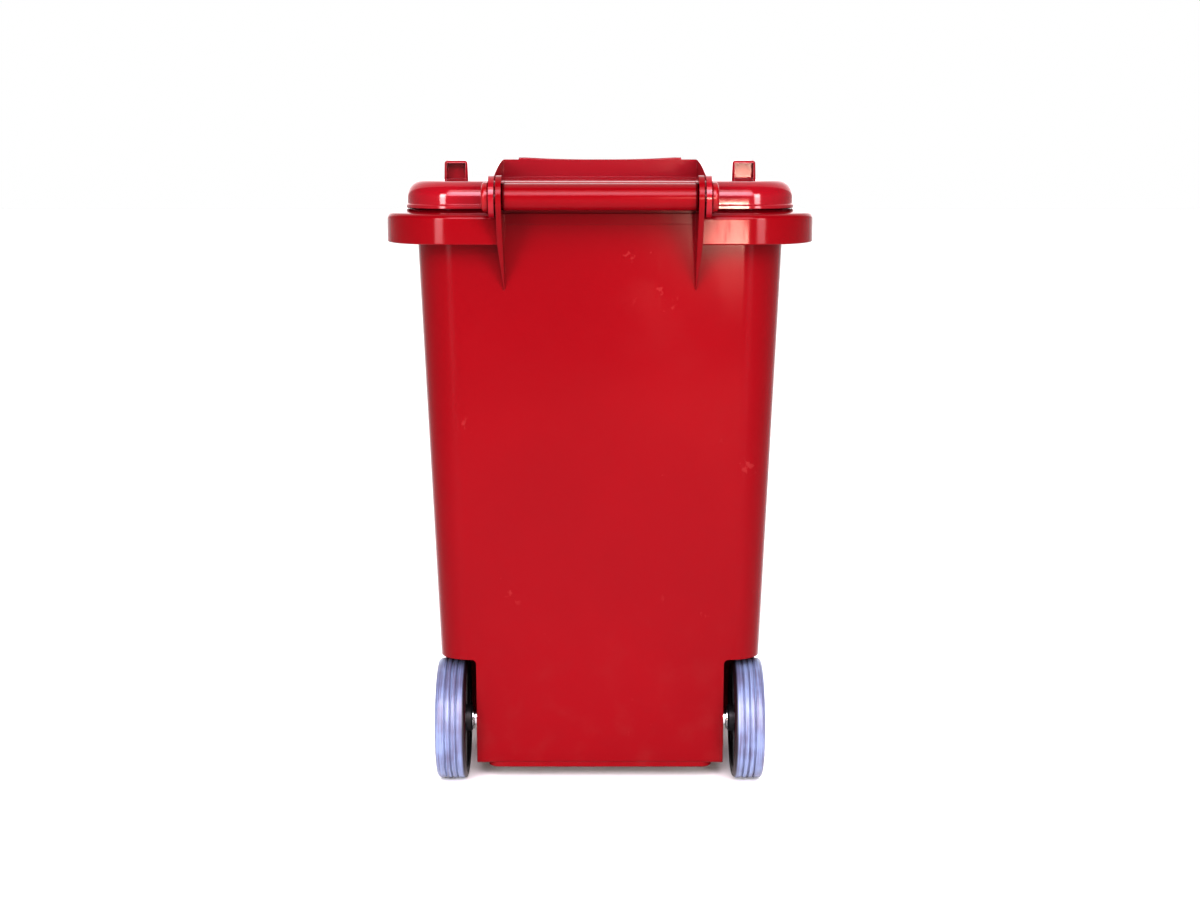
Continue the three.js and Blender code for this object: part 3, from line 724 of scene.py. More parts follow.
@dataclass
class Tub:
    """The one big moulding: walls, rim and skirt, brackets, handle tube, wheel wells and base."""

    places: Places
    wall: float = 3.5
    foot_round: float = 4.0
    inside_round: float = 6.0
    overhang: float = 29.0
    skirt_height: float = 33.0
    rim_fall: float = 3.5
    rim_edge: float = 5.0
    lip_round: float = 1.2
    rim_corner: float = 70.0
    lid_inset: float = 20.5
    ledge: tuple[float, float] = (10.5, 2.2)
    floor: float = 19.5
    floor_thick: float = 4.5
    draft: float = 0.0405
    front_draft: float = 0.08
    corner_top: float = 42.0
    corner_floor: float = 28.0
    bracket: tuple[float, float] = (94.5, 100.0)
    fin_drop: float = 81.5
    fin_tip: float = 1.2
    bracket_round: float = 1.2
    handle: float = 13.0
    handle_wall: float = 3.5
    handle_fillet: float = 2.5
    pin_hole: float = 6.3
    well_side: float = 128.5
    well_radius: float = 70.0
    well_soft: float = 5.0
    well_toe: float = 145.0
    well_toe_turn: float = 15.0
    channel_half: float = 13.0
    channel_roof: float = 12.0
    web_at: float = 60.0
    axle_hole: float = 6.3
    base_half: float = 117.0
    base_drop: float = 4.5
    base_rib: float = 6.0
    base_corner: float = 12.0
    foot: tuple[float, float, float] = (88.0, 48.0, 44.0)
    foot_setback: float = 16.0
    foot_edge: float = 1.5
    foot_corner: float = 8.0

    def outline(self, z: float) -> Outline:
        """The outer wall at a height.

        Args:
            z: The height.

        Returns:
            Its outline.
        """
        p = self.places
        below = p.rim_top - z
        share = below / (p.rim_top - self.floor)
        return Outline(
            p.half - self.overhang - self.draft * below,
            p.front + self.overhang + self.front_draft * below,
            p.skirt - self.overhang - self.draft * below,
            self.corner_top + (self.corner_floor - self.corner_top) * share,
        )

    def walls(self) -> bpy.types.Object:
        """The walls' outer solid, rounded at its foot.

        Returns:
            The solid.
        """
        top = self.places.rim_top
        heights = [(by, self.floor + drop) for by, drop in rounded_over(self.foot_round)]
        foot = [self.outline(z).inset(by).ring(z) for by, z in heights[::-1]]
        return skinned("tub", [*foot, self.outline(top).ring(top)])

    def inside(self, z: float, by: float = 0.0) -> list[Vector]:
        """A ring of the inner wall at a height, moved further in by so much."""
        return self.outline(z).inset(self.wall + by).ring(z)

    def cavity(self) -> bpy.types.Object:
        """The space inside, less the walls round the wells and the axle's channel.

        Returns:
            The space.
        """
        top, low = self.places.rim_top + 1, self.floor + self.floor_thick
        foot = [self.inside(low + drop, by) for by, drop in rounded_over(self.inside_round)]
        space = skinned("cavity", [*foot[::-1], self.inside(top)])
        kept = [self.well(side, self.wall) for side in Side] + [self.channel(self.wall)]
        return combined(space, [(Cut.REMOVE, solid) for solid in kept])

    def rim(self) -> bpy.types.Object:
        """The rim's sloped top and the skirt that hangs from it, open between the brackets.

        Returns:
            The rim.
        """
        p = self.places
        outer = Outline(p.half, p.front, p.skirt, self.rim_corner)
        edge, low = p.rim_top - self.rim_fall, p.rim_top - self.skirt_height
        lip = [outer.inset(by).ring(low + drop) for by, drop in rounded_over(self.lip_round)]
        over = [outer.inset(by).ring(edge - drop) for by, drop in rounded_over(self.rim_edge)]
        solid = skinned("rim", [*lip[::-1], *over, outer.inset(self.lid_inset).ring(p.rim_top)])
        under = outer.inset(self.wall)
        hollow = skinned("hollow", [under.ring(low - 1), under.inset(0.6).ring(edge - self.wall)])
        reach = self.bracket[0] + 1
        rear, rear_top = self.outline(low).rear, self.outline(p.rim_top).rear
        gap = slab("gap", (-reach, rear + 0.5, low - 2), (reach, p.skirt + 34, p.rim_top + 2))
        height, proud = self.ledge
        low_end, high_end = (-reach - 1, rear_top - 4.5, edge - height), (reach + 1, rear_top + proud, edge)
        ledge = slab("ledge", low_end, high_end)
        return combined(solid, [(Cut.REMOVE, hollow), (Cut.REMOVE, gap), (Cut.JOIN, ledge)])

    def well_view(self, grow: float) -> list[tuple[float, float]]:
        """Side view of a wheel well: an arch over the wheel that runs out through the rear wall.

        Args:
            grow: How much larger it is all round.

        Returns:
            The (y, z) points.
        """
        axle, radius = self.places.axle, self.well_radius + grow
        behind, deep = axle.y + self.well_radius + 2 * BEYOND, self.floor - BEYOND
        toe = axle.y - self.well_toe - grow
        arch = arc(axle, radius, 90, 180 + self.well_toe_turn)
        return [(behind, deep), (behind, axle.z + radius), *arch, (toe, self.floor + grow), (toe, deep)]

    def well(self, side: Side, grow: float) -> bpy.types.Object:
        """The space for a wheel.

        Args:
            side: The wheel's side.
            grow: A wall's thickness, where the tub's own space must stay clear of it.

        Returns:
            The solid, soft along its inner edge.
        """
        inner, soft = self.well_side - grow, self.well_soft + grow
        steps = [(inner + drop, grow - by) for by, drop in rounded_over(soft)[::-1]]
        steps.append((self.places.half + BEYOND, grow))
        rings = [[Vector((side.value * x, y, z)) for y, z in self.well_view(size)] for x, size in steps]
        return skinned("well", rings)

    def channel(self, grow: float) -> bpy.types.Object:
        """The channel that the axle crosses under the floor.

        Args:
            grow: How much larger it is all round.

        Returns:
            The solid.
        """
        axle, half = self.places.axle, self.channel_half + grow
        reach, roof = self.well_side - self.wall + grow, axle.z + self.channel_roof + grow
        return slab("channel", (-reach, axle.y - half, self.floor - BEYOND), (reach, axle.y + half, roof))

    def web(self, side: Side) -> bpy.types.Object:
        """A web across the channel, which the axle passes through.

        Args:
            side: Its side.

        Returns:
            The web.
        """
        axle, half = self.places.axle, self.channel_half + 1
        x0, x1 = side.span(self.web_at - self.wall / 2, self.web_at + self.wall / 2)
        roof = axle.z + self.channel_roof + 1
        return slab("web", (x0, axle.y - half, self.floor + 2), (x1, axle.y + half, roof))

    def bracket_plate(self, side: Side) -> bpy.types.Object:
        """A handle bracket, with the fin that runs down to a point on the rear wall.

        Args:
            side: Its side.

        Returns:
            The bracket.
        """
        p = self.places
        tip_z, under = p.rim_top - self.fin_drop, p.rim_top - self.rim_fall
        tip = Vector((self.outline(tip_z).rear - 1, tip_z))
        to_axis = Vector((p.axis.y, p.axis.z)) - tip
        slope = math.degrees(math.atan2(to_axis.y, to_axis.x))
        start = slope - math.degrees(math.asin(p.disc / to_axis.length)) - 90
        view = [(self.outline(under).rear - 1, under), (tip.x, tip.y)]
        view += [*arc(p.axis, p.disc, start, 180), (p.axis.y - p.disc, under)]
        made = plate("bracket", view, *side.span(*self.bracket), self.bracket_round)
        return combined(made, [(Cut.REMOVE, self.fin_taper(side, tip_z))])

    def fin_taper(self, side: Side, tip_z: float) -> bpy.types.Object:
        """The space beside a fin's outer face, which closes in towards the fin's tip.

        Args:
            side: The bracket's side.
            tip_z: The tip's height.

        Returns:
            The space.
        """
        p = self.places
        inner, outer = self.bracket
        top = p.rim_top - self.skirt_height
        corners = [
            (outer, top),
            (outer + 5, top),
            (outer + 5, tip_z - 5),
            (inner + self.fin_tip, tip_z - 5),
            (inner + self.fin_tip, tip_z),
        ]
        ends = (p.skirt - 60, p.axis.y + 30)
        return skinned("taper", [[Vector((side.value * x, y, z)) for x, z in corners] for y in ends])

    def handle_tube(self) -> bpy.types.Object:
        """The handle between the brackets, with a small fillet at each end.

        Returns:
            The handle, not yet hollow.
        """
        face, soft, axis = self.bracket[0], self.handle_fillet, self.places.axis
        turns = quarter_turn(5)[::-1]
        fillet = [(self.handle + soft * (1 - math.sin(t)), face - soft * math.cos(t)) for t in turns]
        flare = [(radius, -x) for radius, x in fillet[::-1]]
        return turned("handle", [(0, -face - 1), *flare, *fillet, (0, face + 1)], axis.y, axis.z)

    def base(self) -> list[bpy.types.Object]:
        """The low frame under the floor and the two front feet.

        Returns:
            The frame, then the feet.
        """
        under = self.outline(self.floor)
        ground = Outline(self.base_half, under.front + self.base_rib, under.rear - 1, self.base_corner)
        low = self.floor - self.base_drop
        ribs = skinned("ribs", [ground.inset(1).ring(low), ground.ring(low + 1), ground.ring(self.floor + 1)])
        inside = ground.inset(self.base_rib)
        space = skinned("inside", [inside.ring(low - 1), inside.ring(self.floor)])
        at, width, length = self.foot
        front, soft = under.front + self.foot_setback, self.foot_edge
        sole = Outline(width / 2, front, front + length, self.foot_corner)
        rings = [sole.inset(soft + by).ring(drop) for by, drop in rounded_over(soft)][::-1]
        rings.append(sole.ring(self.floor + 1))
        made = [combined(ribs, [(Cut.REMOVE, space)])]
        for move in [Vector((side.value * at, 0, 0)) for side in Side]:
            made.append(skinned("foot", [[point + move for point in ring] for ring in rings]))
        return made

    def build(self, dresser: Dresser) -> bpy.types.Object:
        """Builds the moulding and dresses it.

        Args:
            dresser: Where the finish comes from.

        Returns:
            The tub.
        """
        p = self.places
        wide = p.half + BEYOND
        steps = [(Cut.JOIN, self.rim())]
        steps += [(Cut.REMOVE, self.well(side, 0)) for side in Side]
        steps += [(Cut.JOIN, part) for part in self.base()]
        steps += [(Cut.REMOVE, self.cavity()), (Cut.REMOVE, self.channel(0))]
        steps += [(Cut.JOIN, self.web(side)) for side in Side]
        steps += [(Cut.REMOVE, drill("axle_hole", self.axle_hole, wide, p.axle))]
        steps += [(Cut.JOIN, self.bracket_plate(side)) for side in Side]
        steps += [(Cut.JOIN, self.handle_tube())]
        steps += [(Cut.REMOVE, drill("bore", self.handle - self.handle_wall, self.bracket[0], p.axis))]
        steps += [(Cut.REMOVE, drill("pin_hole", self.pin_hole, wide, p.axis))]
        made = smoothed(combined(self.walls(), steps))
        made.name = "tub_moulding"
        dresser.dress(made, "tub_red", "bin", "tub")
        return made


# ---------------------------------------------------------------------------- lid


@dataclass
class Lid:
    """The lid's moulding: a dome over the rim, the raised middle, its arms, the tabs and the front grip."""

    places: Places
    tub: Tub
    gap: float = 0.8
    wall: float = 3.0
    edge: float = 16.0
    corner: float = 48.0
    bead: tuple[float, float] = (3.2, 1.2)
    crown_rise: float = 29.0
    crown_radius: float = 3774.0
    crown_back: float = 107.0
    lip: tuple[float, float, float] = (3.0, 2.5, 7.0)
    ear: tuple[float, float] = (101.5, 107.0)
    pin_hole: float = 6.4
    hood_back: float = 155.0
    hood_rise: float = 47.0
    hood_fall: float = 12.5
    hood_ahead: float = 168.0
    hood_run: float = 42.0
    hood_edge: float = 7.0
    hood_foot: float = 12.0
    arm_rise: float = 7.0
    arm_bend: float = 93.0
    arm_round: float = 1.4
    panel: tuple[float, float, float] = (85.0, 2.7, 130.0)
    tab: tuple[float, float, float, float] = (145.0, 24.0, 40.0, 47.2)
    tab_wall: float = 2.6
    tab_round: float = 3.0
    tab_hollow: float = 15.0
    tab_back: float = 75.0
    grip: tuple[float, float, float, float, float] = (78.0, 17.0, 4.0, 5.0, 8.0)
    grip_round: float = 1.2
    under: float = field(init=False)
    outline: Outline = field(init=False)
    hood_y: float = field(init=False)
    hood_top: float = field(init=False)

    def __post_init__(self) -> None:
        """Works out the lid's own places."""
        p, inset = self.places, self.tub.lid_inset
        self.under = p.rim_top + self.gap
        self.outline = Outline(p.half - inset, p.front + inset, p.skirt - inset, self.corner)
        self.hood_y = p.skirt - self.hood_back
        self.hood_top = p.rim_top + self.hood_rise

    def crown(self, y: float) -> float:
        """Height of the dome's top."""
        line = self.outline.rear - self.crown_back
        return self.places.rim_top + self.crown_rise - (y - line) ** 2 / (2 * self.crown_radius)

    def under_crown(self, drop: float) -> Callable[[float, float], float]:
        """The height so far under the dome's top.

        Args:
            drop: How far under it.

        Returns:
            The height as a function of x and y.
        """

        def height(_: float, y: float) -> float:
            """The height at a place."""
            return self.crown(y) - drop

        return height

    def dome(self, by: float, foot: float) -> bpy.types.Object:
        """The dome's solid, shrunk by a wall for the space inside.

        Args:
            by: How far it is shrunk.
            foot: Height of its open underside.

        Returns:
            The solid.
        """
        outline, radius = self.outline.inset(by), self.edge - by
        rings = [outline.ring(foot)]
        for inset, drop in rounded_over(radius, 9):
            rings.append(outline.inset(inset).ring(self.under_crown(by + drop)))
        reach = min(outline.half, (outline.rear - outline.front) / 2) - radius
        for share in (0.08, 0.2, 0.35, 0.5, 0.65, 0.8, 0.93):
            rings.append(outline.inset(radius + share * reach).ring(self.under_crown(by)))
        return skinned("dome", rings)

    def bead_ring(self) -> bpy.types.Object:
        """The thick bead round the dome's foot.

        Returns:
            The bead.
        """
        height, proud = self.bead
        rings = [self.outline.inset(0.5 - proud).ring(self.under)]
        rings += [self.outline.inset(-proud).ring(self.under + z) for z in (0.5, height)]
        rings += [self.outline.inset(-proud * 0.3).ring(self.under + height + proud * 0.7)]
        rings += [self.outline.inset(0.3).ring(self.under + height + proud + 0.6)]
        return skinned("bead", rings)

    def hood(self, by: float) -> bpy.types.Object:
        """The raised middle's solid, shrunk by a wall for the space inside.

        Args:
            by: How far it is shrunk.

        Returns:
            The solid.
        """
        foot = self.places.rim_top + self.hood_foot
        nose, back = self.hood_y - self.hood_ahead, self.hood_y - by
        nose_top = self.hood_top - self.hood_fall
        view = [
            (back, foot),
            (back, self.hood_top - by),
            (nose + by / 2, nose_top - by),
            (nose - self.hood_run + by, foot),
        ]
        reach = self.ear[1] - by
        return plate("hood", view, -reach, reach, max(self.hood_edge - by, 1.0))

    def panel_pad(self) -> bpy.types.Object:
        """The dished pad on the raised middle, lofted from one end to the other.

        Returns:
            The pad.
        """
        half, rise, length = self.panel
        sag = (half**2 + rise**2) / (2 * rise)
        slope = self.hood_fall / self.hood_ahead
        rings = []
        ends = [(0.0, 1.2), (0.5, 0.4), (1.4, 0.0)]
        ends += [(length - back, down) for back, down in ends[::-1]]
        for ahead, down in ends:
            y = self.hood_y - ahead
            base = self.hood_top - slope * ahead
            xs = [half * (i / 12 - 1) for i in range(25)]
            top = [Vector((x, y, base + sag - math.sqrt(sag**2 - x**2) - down)) for x in xs]
            top[0].z -= 0.6
            top[-1].z -= 0.6
            rings.append([Vector((-half, y, base - 6)), *top, Vector((half, y, base - 6))])
        return skinned("panel", rings)

    def arm(self, side: Side) -> bpy.types.Object:
        """An arm from the round ear on the hinge to the raised middle.

        Args:
            side: Its side.

        Returns:
            The arm.
        """
        p = self.places
        view = arc(p.axis, p.disc, -135, 90 - self.arm_rise)
        start, end = Vector(view[-1]), Vector((self.hood_y, self.hood_top))
        bend_y = self.hood_y + self.arm_bend
        bend = Vector((bend_y, start.y + (start.x - bend_y) * math.tan(math.radians(self.arm_rise))))
        shares = [i / 12 for i in range(1, 13)]
        curve = [start * (1 - t) ** 2 + bend * (2 * t * (1 - t)) + end * t**2 for t in shares]
        view += [(point.x, point.y) for point in curve]
        view += [
            (self.hood_y - 10, self.hood_top - 1),
            (self.hood_y - 10, self.under + 6),
            (self.outline.rear, self.under + 2),
        ]
        return plate("arm", view, *side.span(*self.ear), self.arm_round)

    def tab_box(self, side: Side) -> bpy.types.Object:
        """A hollow tab, open to the rear.

        Args:
            side: Its side.

        Returns:
            The tab.
        """
        at, width, length, rise = self.tab
        rear = self.places.skirt - self.tab_back
        top, foot, wall = self.places.rim_top + rise, self.crown(rear), self.tab_wall
        outer = Outline(width / 2, rear - length, rear, self.tab_round)
        rings = [outer.ring(foot - 1.5), outer.inset(0.5).ring(top - self.tab_round)]
        rings += [outer.inset(0.5 + by).ring(top - drop) for by, drop in rounded_over(self.tab_round)[1:]]
        solid = skinned("tab", rings)
        inside = slab(
            "tab_inside",
            (-width / 2 + wall, rear - self.tab_hollow, foot + 0.2),
            (width / 2 - wall, rear + 1, top - wall),
        )
        made = combined(solid, [(Cut.REMOVE, inside)])
        made.data.transform(Matrix.Translation((side.value * at * MM, 0, 0)))
        return made

    def grip_lip(self) -> bpy.types.Object:
        """The lip along the front edge that a hand lifts.

        Returns:
            The lip.
        """
        half, reach, thick, drop, under = self.grip
        front = self.outline.front
        top, root, tip = self.crown(front) - under, front + self.wall - 0.5, front - reach
        view = [
            (root, top),
            (tip + 2, top),
            (tip + 0.6, top - 0.6),
            (tip, top - 2),
            (tip, top - thick - drop),
            (tip + self.wall, top - thick - drop),
            (tip + self.wall, top - thick),
            (root, top - thick),
        ]
        return plate("grip", view, -half, half, self.grip_round)

    def locating_lip(self) -> bpy.types.Object:
        """The low lip that drops into the tub's mouth.

        Returns:
            The lip.
        """
        inside_gap, thick, deep = self.lip
        top = self.places.rim_top
        mouth = self.tub.outline(top).inset(self.tub.wall + inside_gap)
        rings = [mouth.inset(0.6).ring(top - deep), mouth.ring(top - deep + 0.8)]
        solid = skinned("lip", [*rings, mouth.ring(self.under_crown(self.wall - 1))])
        inner = mouth.inset(thick)
        hollow = skinned("lip_inside", [inner.ring(top - deep - 1), inner.ring(top + 60)])
        return combined(solid, [(Cut.REMOVE, hollow)])

    def build(self, dresser: Dresser) -> bpy.types.Object:
        """Builds the moulding and dresses it.

        Args:
            dresser: Where the finish comes from.

        Returns:
            The lid.
        """
        p = self.places
        wide = p.half + BEYOND
        inner = self.under - 1
        steps = [(Cut.JOIN, part) for part in (self.bead_ring(), self.hood(0), self.panel_pad())]
        steps += [(Cut.REMOVE, self.dome(self.wall, inner)), (Cut.REMOVE, self.hood(self.wall))]
        steps += [(Cut.JOIN, self.locating_lip())]
        for side in Side:
            steps.append((Cut.JOIN, combined(self.arm(side), [(Cut.REMOVE, self.dome(self.wall, inner))])))
            steps.append((Cut.JOIN, self.tab_box(side)))
        steps += [(Cut.JOIN, self.grip_lip())]
        steps += [(Cut.REMOVE, drill("pin_hole", self.pin_hole, wide, p.axis))]
        made = smoothed(combined(self.dome(0, self.under), steps))
        made.name = "lid_moulding"
        dresser.dress(made, "lid_red", "lid", "lid")
        return made


# ---------------------------------------------------------------------------- hinge pins, wheels and axle


@dataclass
class HingePins:
    """The mushroom-headed pins that hold the lid's ears on the brackets."""

    places: Places
    shank: float = 6.0
    barb: float = 7.2
    barb_length: float = 9.0
    head: float = 14.3
    head_thick: float = 6.2
    head_round: float = 3.0

    def build(self, dresser: Dresser) -> None:
        """Builds and dresses both pins.

        Args:
            dresser: Where the finish comes from.
        """
        for side in Side:
            node = f"hinge_pin_{side.word}"
            tip, top, _ = along_x(node)
            seat, under = tip + self.barb_length, top - self.head_thick
            dome = [(self.head - by, top - drop) for by, drop in rounded_over(self.head_round, 7)]
            profile = [
                (0, tip),
                (self.shank - 1.5, tip),
                (self.barb, seat - 2),
                (self.barb, seat),
                (self.shank, seat),
                (self.shank, under),
                (self.head - 0.5, under),
                (self.head, under + 0.5),
                *dome,
                (self.head * 0.55, top),
                (self.head * 0.5, top - 0.7),
                (0, top - 0.9),
            ]
            made = smoothed(on_side(f"pin_{side.word}", side, profile, self.places.axis))
            dresser.dress(made, "pin_red", "bin", node)


@dataclass
class Wheels:
    """Both wheels, with their rubber tyres, black hubs, bushes and caps."""

    places: Places
    radius: float = 62.5
    shoulder: float = 4.0
    grooves: int = 3
    groove_width: float = 1.6
    groove: tuple[tuple[float, float], ...] = ((1.25, 0.0), (1.0, 0.25), (0.6, 1.03675), (0.0, 1.27075))
    hub_wall: float = 5.0
    hub_web: float = 4.0
    hub_web_in: float = 6.0
    boss: float = 14.0
    ribs: int = 6
    rib: tuple[float, float] = (16.0, 3.0)
    bore: float = 9.1
    rib_turn: float = 0.25
    bush: tuple[float, float] = (6.4, 8.8)
    soft: float = 0.4
    cap_wall: float = 1.8
    cap_round: tuple[float, float] = (5.0, 4.0)

    def tyre(self, side: Side, dresser: Dresser) -> None:
        """Builds a tyre with rounded shoulders and round-bottomed grooves.

        Args:
            side: Its side.
            dresser: Where the finish comes from.
        """
        node = f"tyre_{side.word}"
        inside, outside, _ = along_x(node)
        seat = along_x(f"wheel_hub_{side.word}")[2] + 0.3
        soft, turns = self.shoulder, quarter_turn(6)
        tread_in, tread_out = inside + soft, outside - soft
        pitch = (tread_out - tread_in) / (self.grooves + 1)
        groove = [(-share, deep) for share, deep in self.groove] + [*self.groove[-2::-1]]
        points = [(seat, inside + 0.6), (seat + 0.6, inside)]
        points += [(self.radius - soft * (1 - math.sin(t)), tread_in - soft * math.cos(t)) for t in turns]
        for i in range(self.grooves):
            centre = tread_in + pitch * (i + 1)
            points += [(self.radius - deep, centre + share * self.groove_width / 2) for share, deep in groove]
        points += [(self.radius - soft * (1 - math.cos(t)), tread_out + soft * math.sin(t)) for t in turns]
        points += [(seat + 0.6, outside), (seat, outside - 0.6)]
        made = smoothed(on_side(f"rubber_tyre_{side.word}", side, points, self.places.axle, 160), 50)
        dresser.dress(made, "tyre_grey", f"wheel_{side.word}", node)

    def hub(self, side: Side, dresser: Dresser) -> None:
        """Builds a hub: rim, web, boss and ribs.

        Args:
            side: Its side.
            dresser: Where the finish comes from.
        """
        node = f"wheel_hub_{side.word}"
        boss_in, boss_out, _ = along_x(f"hub_bush_{side.word}")
        tyre_in, tyre_out, _ = along_x(f"tyre_{side.word}")
        middle, half = (tyre_in + tyre_out) / 2, (tyre_out - tyre_in) / 2 - 0.5
        web_x, rim = middle - self.hub_web_in, along_x(node)[2]
        seat, web, soft = rim - self.hub_wall, self.hub_web / 2, 0.8
        points = [
            (self.bore, boss_in),
            (self.boss - soft, boss_in),
            (self.boss, boss_in + soft),
            (self.boss, web_x - web),
            (seat, web_x - web),
            (seat, middle - half + soft),
            (seat + soft, middle - half),
            (rim - 0.3, middle - half),
            (rim, middle - half + 0.3),
            (rim, middle + half - 0.3),
            (rim - 0.3, middle + half),
            (seat + soft, middle + half),
            (seat, middle + half - soft),
            (seat, web_x + web),
            (self.boss, web_x + web),
            (self.boss, boss_out - 0.3),
            (self.boss - 0.3, boss_out),
            (self.bore, boss_out),
        ]
        body = on_side(f"hub_{side.word}", side, points, self.places.axle, 120)
        reaches = (self.boss - 1, seat + 1)
        steps = [(Cut.JOIN, self.spoke(i, side.value * web_x, reaches)) for i in range(self.ribs)]
        made = smoothed(combined(body, steps))
        made.name = f"wheel_body_{side.word}"
        dresser.dress(made, "hub_black", f"wheel_{side.word}", node)

    def spoke(self, number: int, x: float, reaches: tuple[float, float]) -> bpy.types.Object:
        """A rib from a hub's boss to its rim.

        Args:
            number: Its place in the order round the hub.
            x: The web's place.
            reaches: How far from the axle it starts and ends.

        Returns:
            The rib.
        """
        wide, thick = self.rib
        turn = (number + self.rib_turn) * 2 * math.pi / self.ribs
        out = Vector((0, -math.sin(turn), math.cos(turn)))
        aside = Vector((0, out.z, -out.y))
        signs = ((-1, -1), (1, -1), (1, 1), (-1, 1))
        corners = [Vector((a * wide / 2, 0, 0)) + aside * (b * thick / 2) for a, b in signs]
        axle = Vector((x, self.places.axle.y, self.places.axle.z))
        return skinned("rib", [[axle + out * reach + corner for corner in corners] for reach in reaches])

    def bush_tube(self, side: Side, dresser: Dresser) -> None:
        """Builds the bearing sleeve in a hub.

        Args:
            side: Its side.
            dresser: Where the finish comes from.
        """
        node = f"hub_bush_{side.word}"
        x0, x1, _ = along_x(node)
        inner, outer = self.bush
        soft = self.soft
        points = [(inner, x0), (outer - soft, x0), (outer, x0 + soft)]
        points += [(outer, x1 - soft), (outer - soft, x1), (inner, x1)]
        made = smoothed(on_side(f"bearing_{side.word}", side, points, self.places.axle, 64))
        dresser.dress(made, "bush_white", f"wheel_{side.word}", node)

    def cap(self, side: Side, dresser: Dresser) -> None:
        """Builds the domed cap over a hub's boss.

        Args:
            side: Its side.
            dresser: Where the finish comes from.
        """
        node = f"hub_cap_{side.word}"
        x0, x1, outer = along_x(node)
        (out, up), wall = self.cap_round, self.cap_wall
        flat, low = outer - out, x1 - up
        over, under = (
            [(flat + (out - by) * math.cos(t), low + (up - by) * math.sin(t)) for t in quarter_turn(8)]
            for by in (0.0, wall)
        )
        foot = [(outer - wall, x0), (outer - self.soft, x0), (outer, x0 + self.soft)]
        points = [(0, x1 - wall), *under[::-1], *foot, *over, (0, x1)]
        made = smoothed(on_side(f"cap_{side.word}", side, points, self.places.axle))
        dresser.dress(made, "hub_black", f"wheel_{side.word}", node)

    def build(self, dresser: Dresser) -> None:
        """Builds and dresses both wheels.

        Args:
            dresser: Where the finish comes from.
        """
        for side in Side:
            self.tyre(side, dresser)
            self.hub(side, dresser)
            self.bush_tube(side, dresser)
            self.cap(side, dresser)


@dataclass
class AxleSet:
    """The axle with its spacers, washers and push-on nuts."""

    places: Places
    hole: float = 6.3
    chamfer: float = 1.0
    ring_soft: float = 0.3
    nut_cone: float = 3.4

    def axle(self, dresser: Dresser) -> None:
        """Builds the axle with chamfered ends.

        Args:
            dresser: Where the finish comes from.
        """
        low, high = node_box("axle")
        radius, soft = (high.z - low.z) / 2, self.chamfer
        points = [
            (0, low.x),
            (radius - soft, low.x),
            (radius, low.x + soft),
            (radius, high.x - soft),
            (radius - soft, high.x),
            (0, high.x),
        ]
        made = smoothed(turned("axle_rod", points, self.places.axle.y, self.places.axle.z), 25)
        dresser.dress(made, "steel", "bin", "axle")

    def ring(self, word: str, side: Side, dresser: Dresser, cone: float = 0.0) -> None:
        """Builds a ring on the axle.

        Args:
            word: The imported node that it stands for, without its side.
            side: Its side.
            dresser: Where the finish comes from.
            cone: How much smaller its outer face is, for the push-on nuts.
        """
        node = f"{word}_{side.word}"
        x0, x1, radius = along_x(node)
        soft = self.ring_soft
        points = [
            (self.hole + (1.2 if cone else 0), x0),
            (radius - soft, x0),
            (radius, x0 + soft),
            (radius, x0 + (1.0 if cone else x1 - x0 - soft)),
            (radius - (cone or soft), x1),
            (self.hole, x1),
        ]
        made = smoothed(on_side(f"{node}_ring", side, points, self.places.axle, 64), 25)
        dresser.dress(made, "steel", "bin", node)

    def build(self, dresser: Dresser) -> None:
        """Builds and dresses the axle and all that stays on it.

        Args:
            dresser: Where the finish comes from.
        """
        self.axle(dresser)
        for side in Side:
            for word in ("axle_spacer", "inner_washer", "outer_washer"):
                self.ring(word, side, dresser)
            self.ring("axle_retainer", side, dresser, self.nut_cone)


# ---------------------------------------------------------------------------- studio


@dataclass(frozen=True)
class Softbox:
    """A rectangular light that points at the bin, in metres and watts."""

    name: str
    place: tuple[float, float, float]
    size: tuple[float, float]
    power: float
    colour: Colour = WHITE
    aim: tuple[float, float, float] = (0.0, 0.0, 0.35)
    spread: float = 180.0

    def light(self) -> None:
        """Adds the light to the scene."""
        data = bpy.data.lights.new(self.name, "AREA")
        data.shape = "RECTANGLE"
        data.size, data.size_y = self.size
        data.energy = self.power
        data.color = self.colour
        data.spread = math.radians(self.spread)
        lamp = linked(self.name, data)
        lamp.location = self.place
        lamp.rotation_euler = (Vector(self.aim) - Vector(self.place)).to_track_quat("-Z", "Y").to_euler()
        lamp.visible_camera = False


@dataclass(frozen=True)
class Daylight:
    """A broad even light from one direction, over the whole floor."""

    name: str
    power: float
    width: float
    lean: float
    colour: Colour = WHITE

    def light(self) -> None:
        """Adds the light, which leans towards the rear by so many degrees from straight above."""
        data = bpy.data.lights.new(self.name, "SUN")
        data.energy, data.angle = self.power, math.radians(self.width)
        data.color = self.colour
        lamp = linked(self.name, data)
        lamp.rotation_euler = (math.radians(-self.lean), 0.0, 0.0)


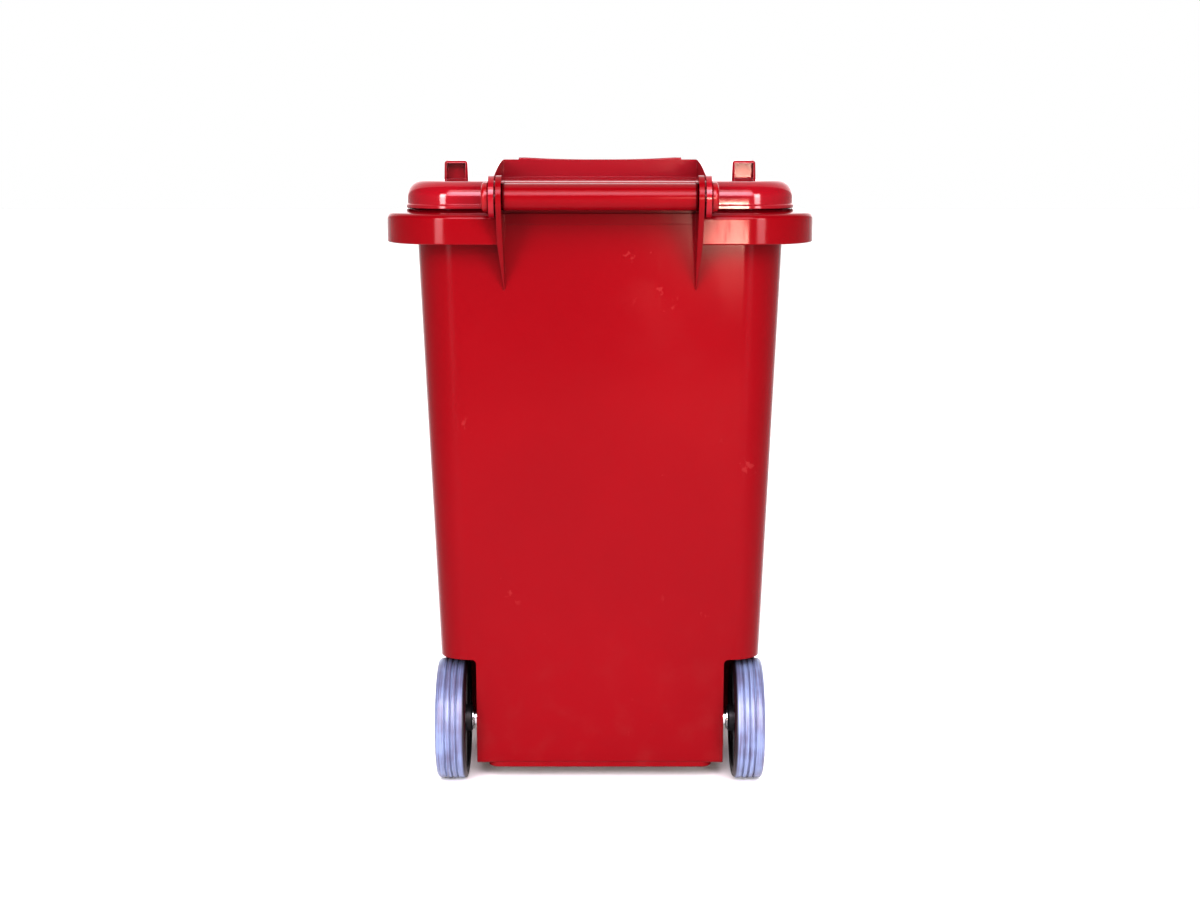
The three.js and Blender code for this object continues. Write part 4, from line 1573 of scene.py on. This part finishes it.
@dataclass
class Studio:
    """The camera, the pale floor and the lights."""

    places: Places
    distance: float = 1880.0
    eye: float = 676.0
    pitch: float = 9.51
    lens: float = 57.67
    sensor: float = 36.0
    floor_reach: float = 14000.0
    dim_side: float = 0.7
    dim_above: float = 0.5
    gamma: float = 0.76
    daylight: tuple[Daylight, ...] = (
        Daylight("from_behind", 0.8, 24.0, 44.0),
        Daylight("from_front", 2.9, 100.0, -46.0),
    )
    boxes: tuple[Softbox, ...] = (
        Softbox("tall_left", (1.55, 3.0, 1.15), (0.8, 2.1), 17.0, spread=60.0),
        Softbox("tall_right", (-1.55, 3.0, 1.15), (0.8, 2.1), 15.0, spread=60.0),
        Softbox("overhead", (0.0, 2.5, 1.85), (1.7, 1.2), 15.0, (1.0, 0.82, 0.95), spread=70.0),
        Softbox("window", (-0.3, 2.25, 0.42), (0.13, 0.28), 12.0, (1.0, 0.7, 0.56)),
    )

    def camera(self) -> None:
        """Adds the camera behind the bin."""
        data = bpy.data.cameras.new("camera")
        data.lens, data.sensor_width = self.lens, self.sensor
        camera = linked("camera", data)
        camera.location = (0.0, (self.places.skirt + self.distance) * MM, self.eye * MM)
        camera.rotation_euler = (math.radians(90 - self.pitch), 0.0, math.pi)
        bpy.context.scene.camera = camera

    def floor_inputs(self, graph: Graph) -> dict[str, Any]:
        """The shader's inputs for an almost even white."""
        tone = graph.mix(graph.noise(1.5), (0.94, 0.94, 0.94), (0.96, 0.96, 0.96))
        return {"Base Color": tone, "Roughness": 0.7, "Specular IOR Level": 0.2}

    def floor(self) -> None:
        """Adds the pale floor, far wider than any view."""
        shape = bmesh.new()
        bmesh.ops.create_grid(shape, x_segments=8, y_segments=8, size=self.floor_reach)
        floor = keep_mesh("floor", shape)
        floor.data.materials.append(surface("floor_pale", self.floor_inputs))

    def world(self) -> None:
        """Sets a white surround that is brightest in front of the bin and low down."""
        world = bpy.data.worlds.new("surround")
        graph = Graph(world)
        way = graph.node("SeparateXYZ", {}, {0: graph.out(graph.node("TexCoord", {}, {}), "Generated")})
        ahead = graph.fading(graph.out(way, "Y"), -0.9, -0.3, self.dim_side)
        above = graph.fading(graph.out(way, "Z"), 0.15, 0.5, self.dim_above)
        glow = graph.node("Background", {}, {"Color": (*WHITE, 1.0), "Strength": ahead * above})
        graph.tree.links.new(glow.outputs[0], graph.node("OutputWorld", {}, {}).inputs[0])
        bpy.context.scene.world = world
        bpy.context.scene.view_settings.view_transform = "Standard"
        bpy.context.scene.view_settings.gamma = self.gamma

    def build(self) -> None:
        """Sets up the camera, the floor and the lights."""
        self.camera()
        self.floor()
        self.world()
        for lamp in (*self.daylight, *self.boxes):
            lamp.light()


def main() -> None:
    """Builds the studio and the bin."""
    logging.basicConfig(level=logging.INFO, format="%(name)s: %(message)s")
    places = Places()
    Studio(places).build()
    dresser = Dresser(Finishes())
    tub = Tub(places)
    tub.build(dresser)
    Lid(places, tub).build(dresser)
    HingePins(places).build(dresser)
    Wheels(places).build(dresser)
    AxleSet(places).build(dresser)


if __name__ == "__main__":
    main()
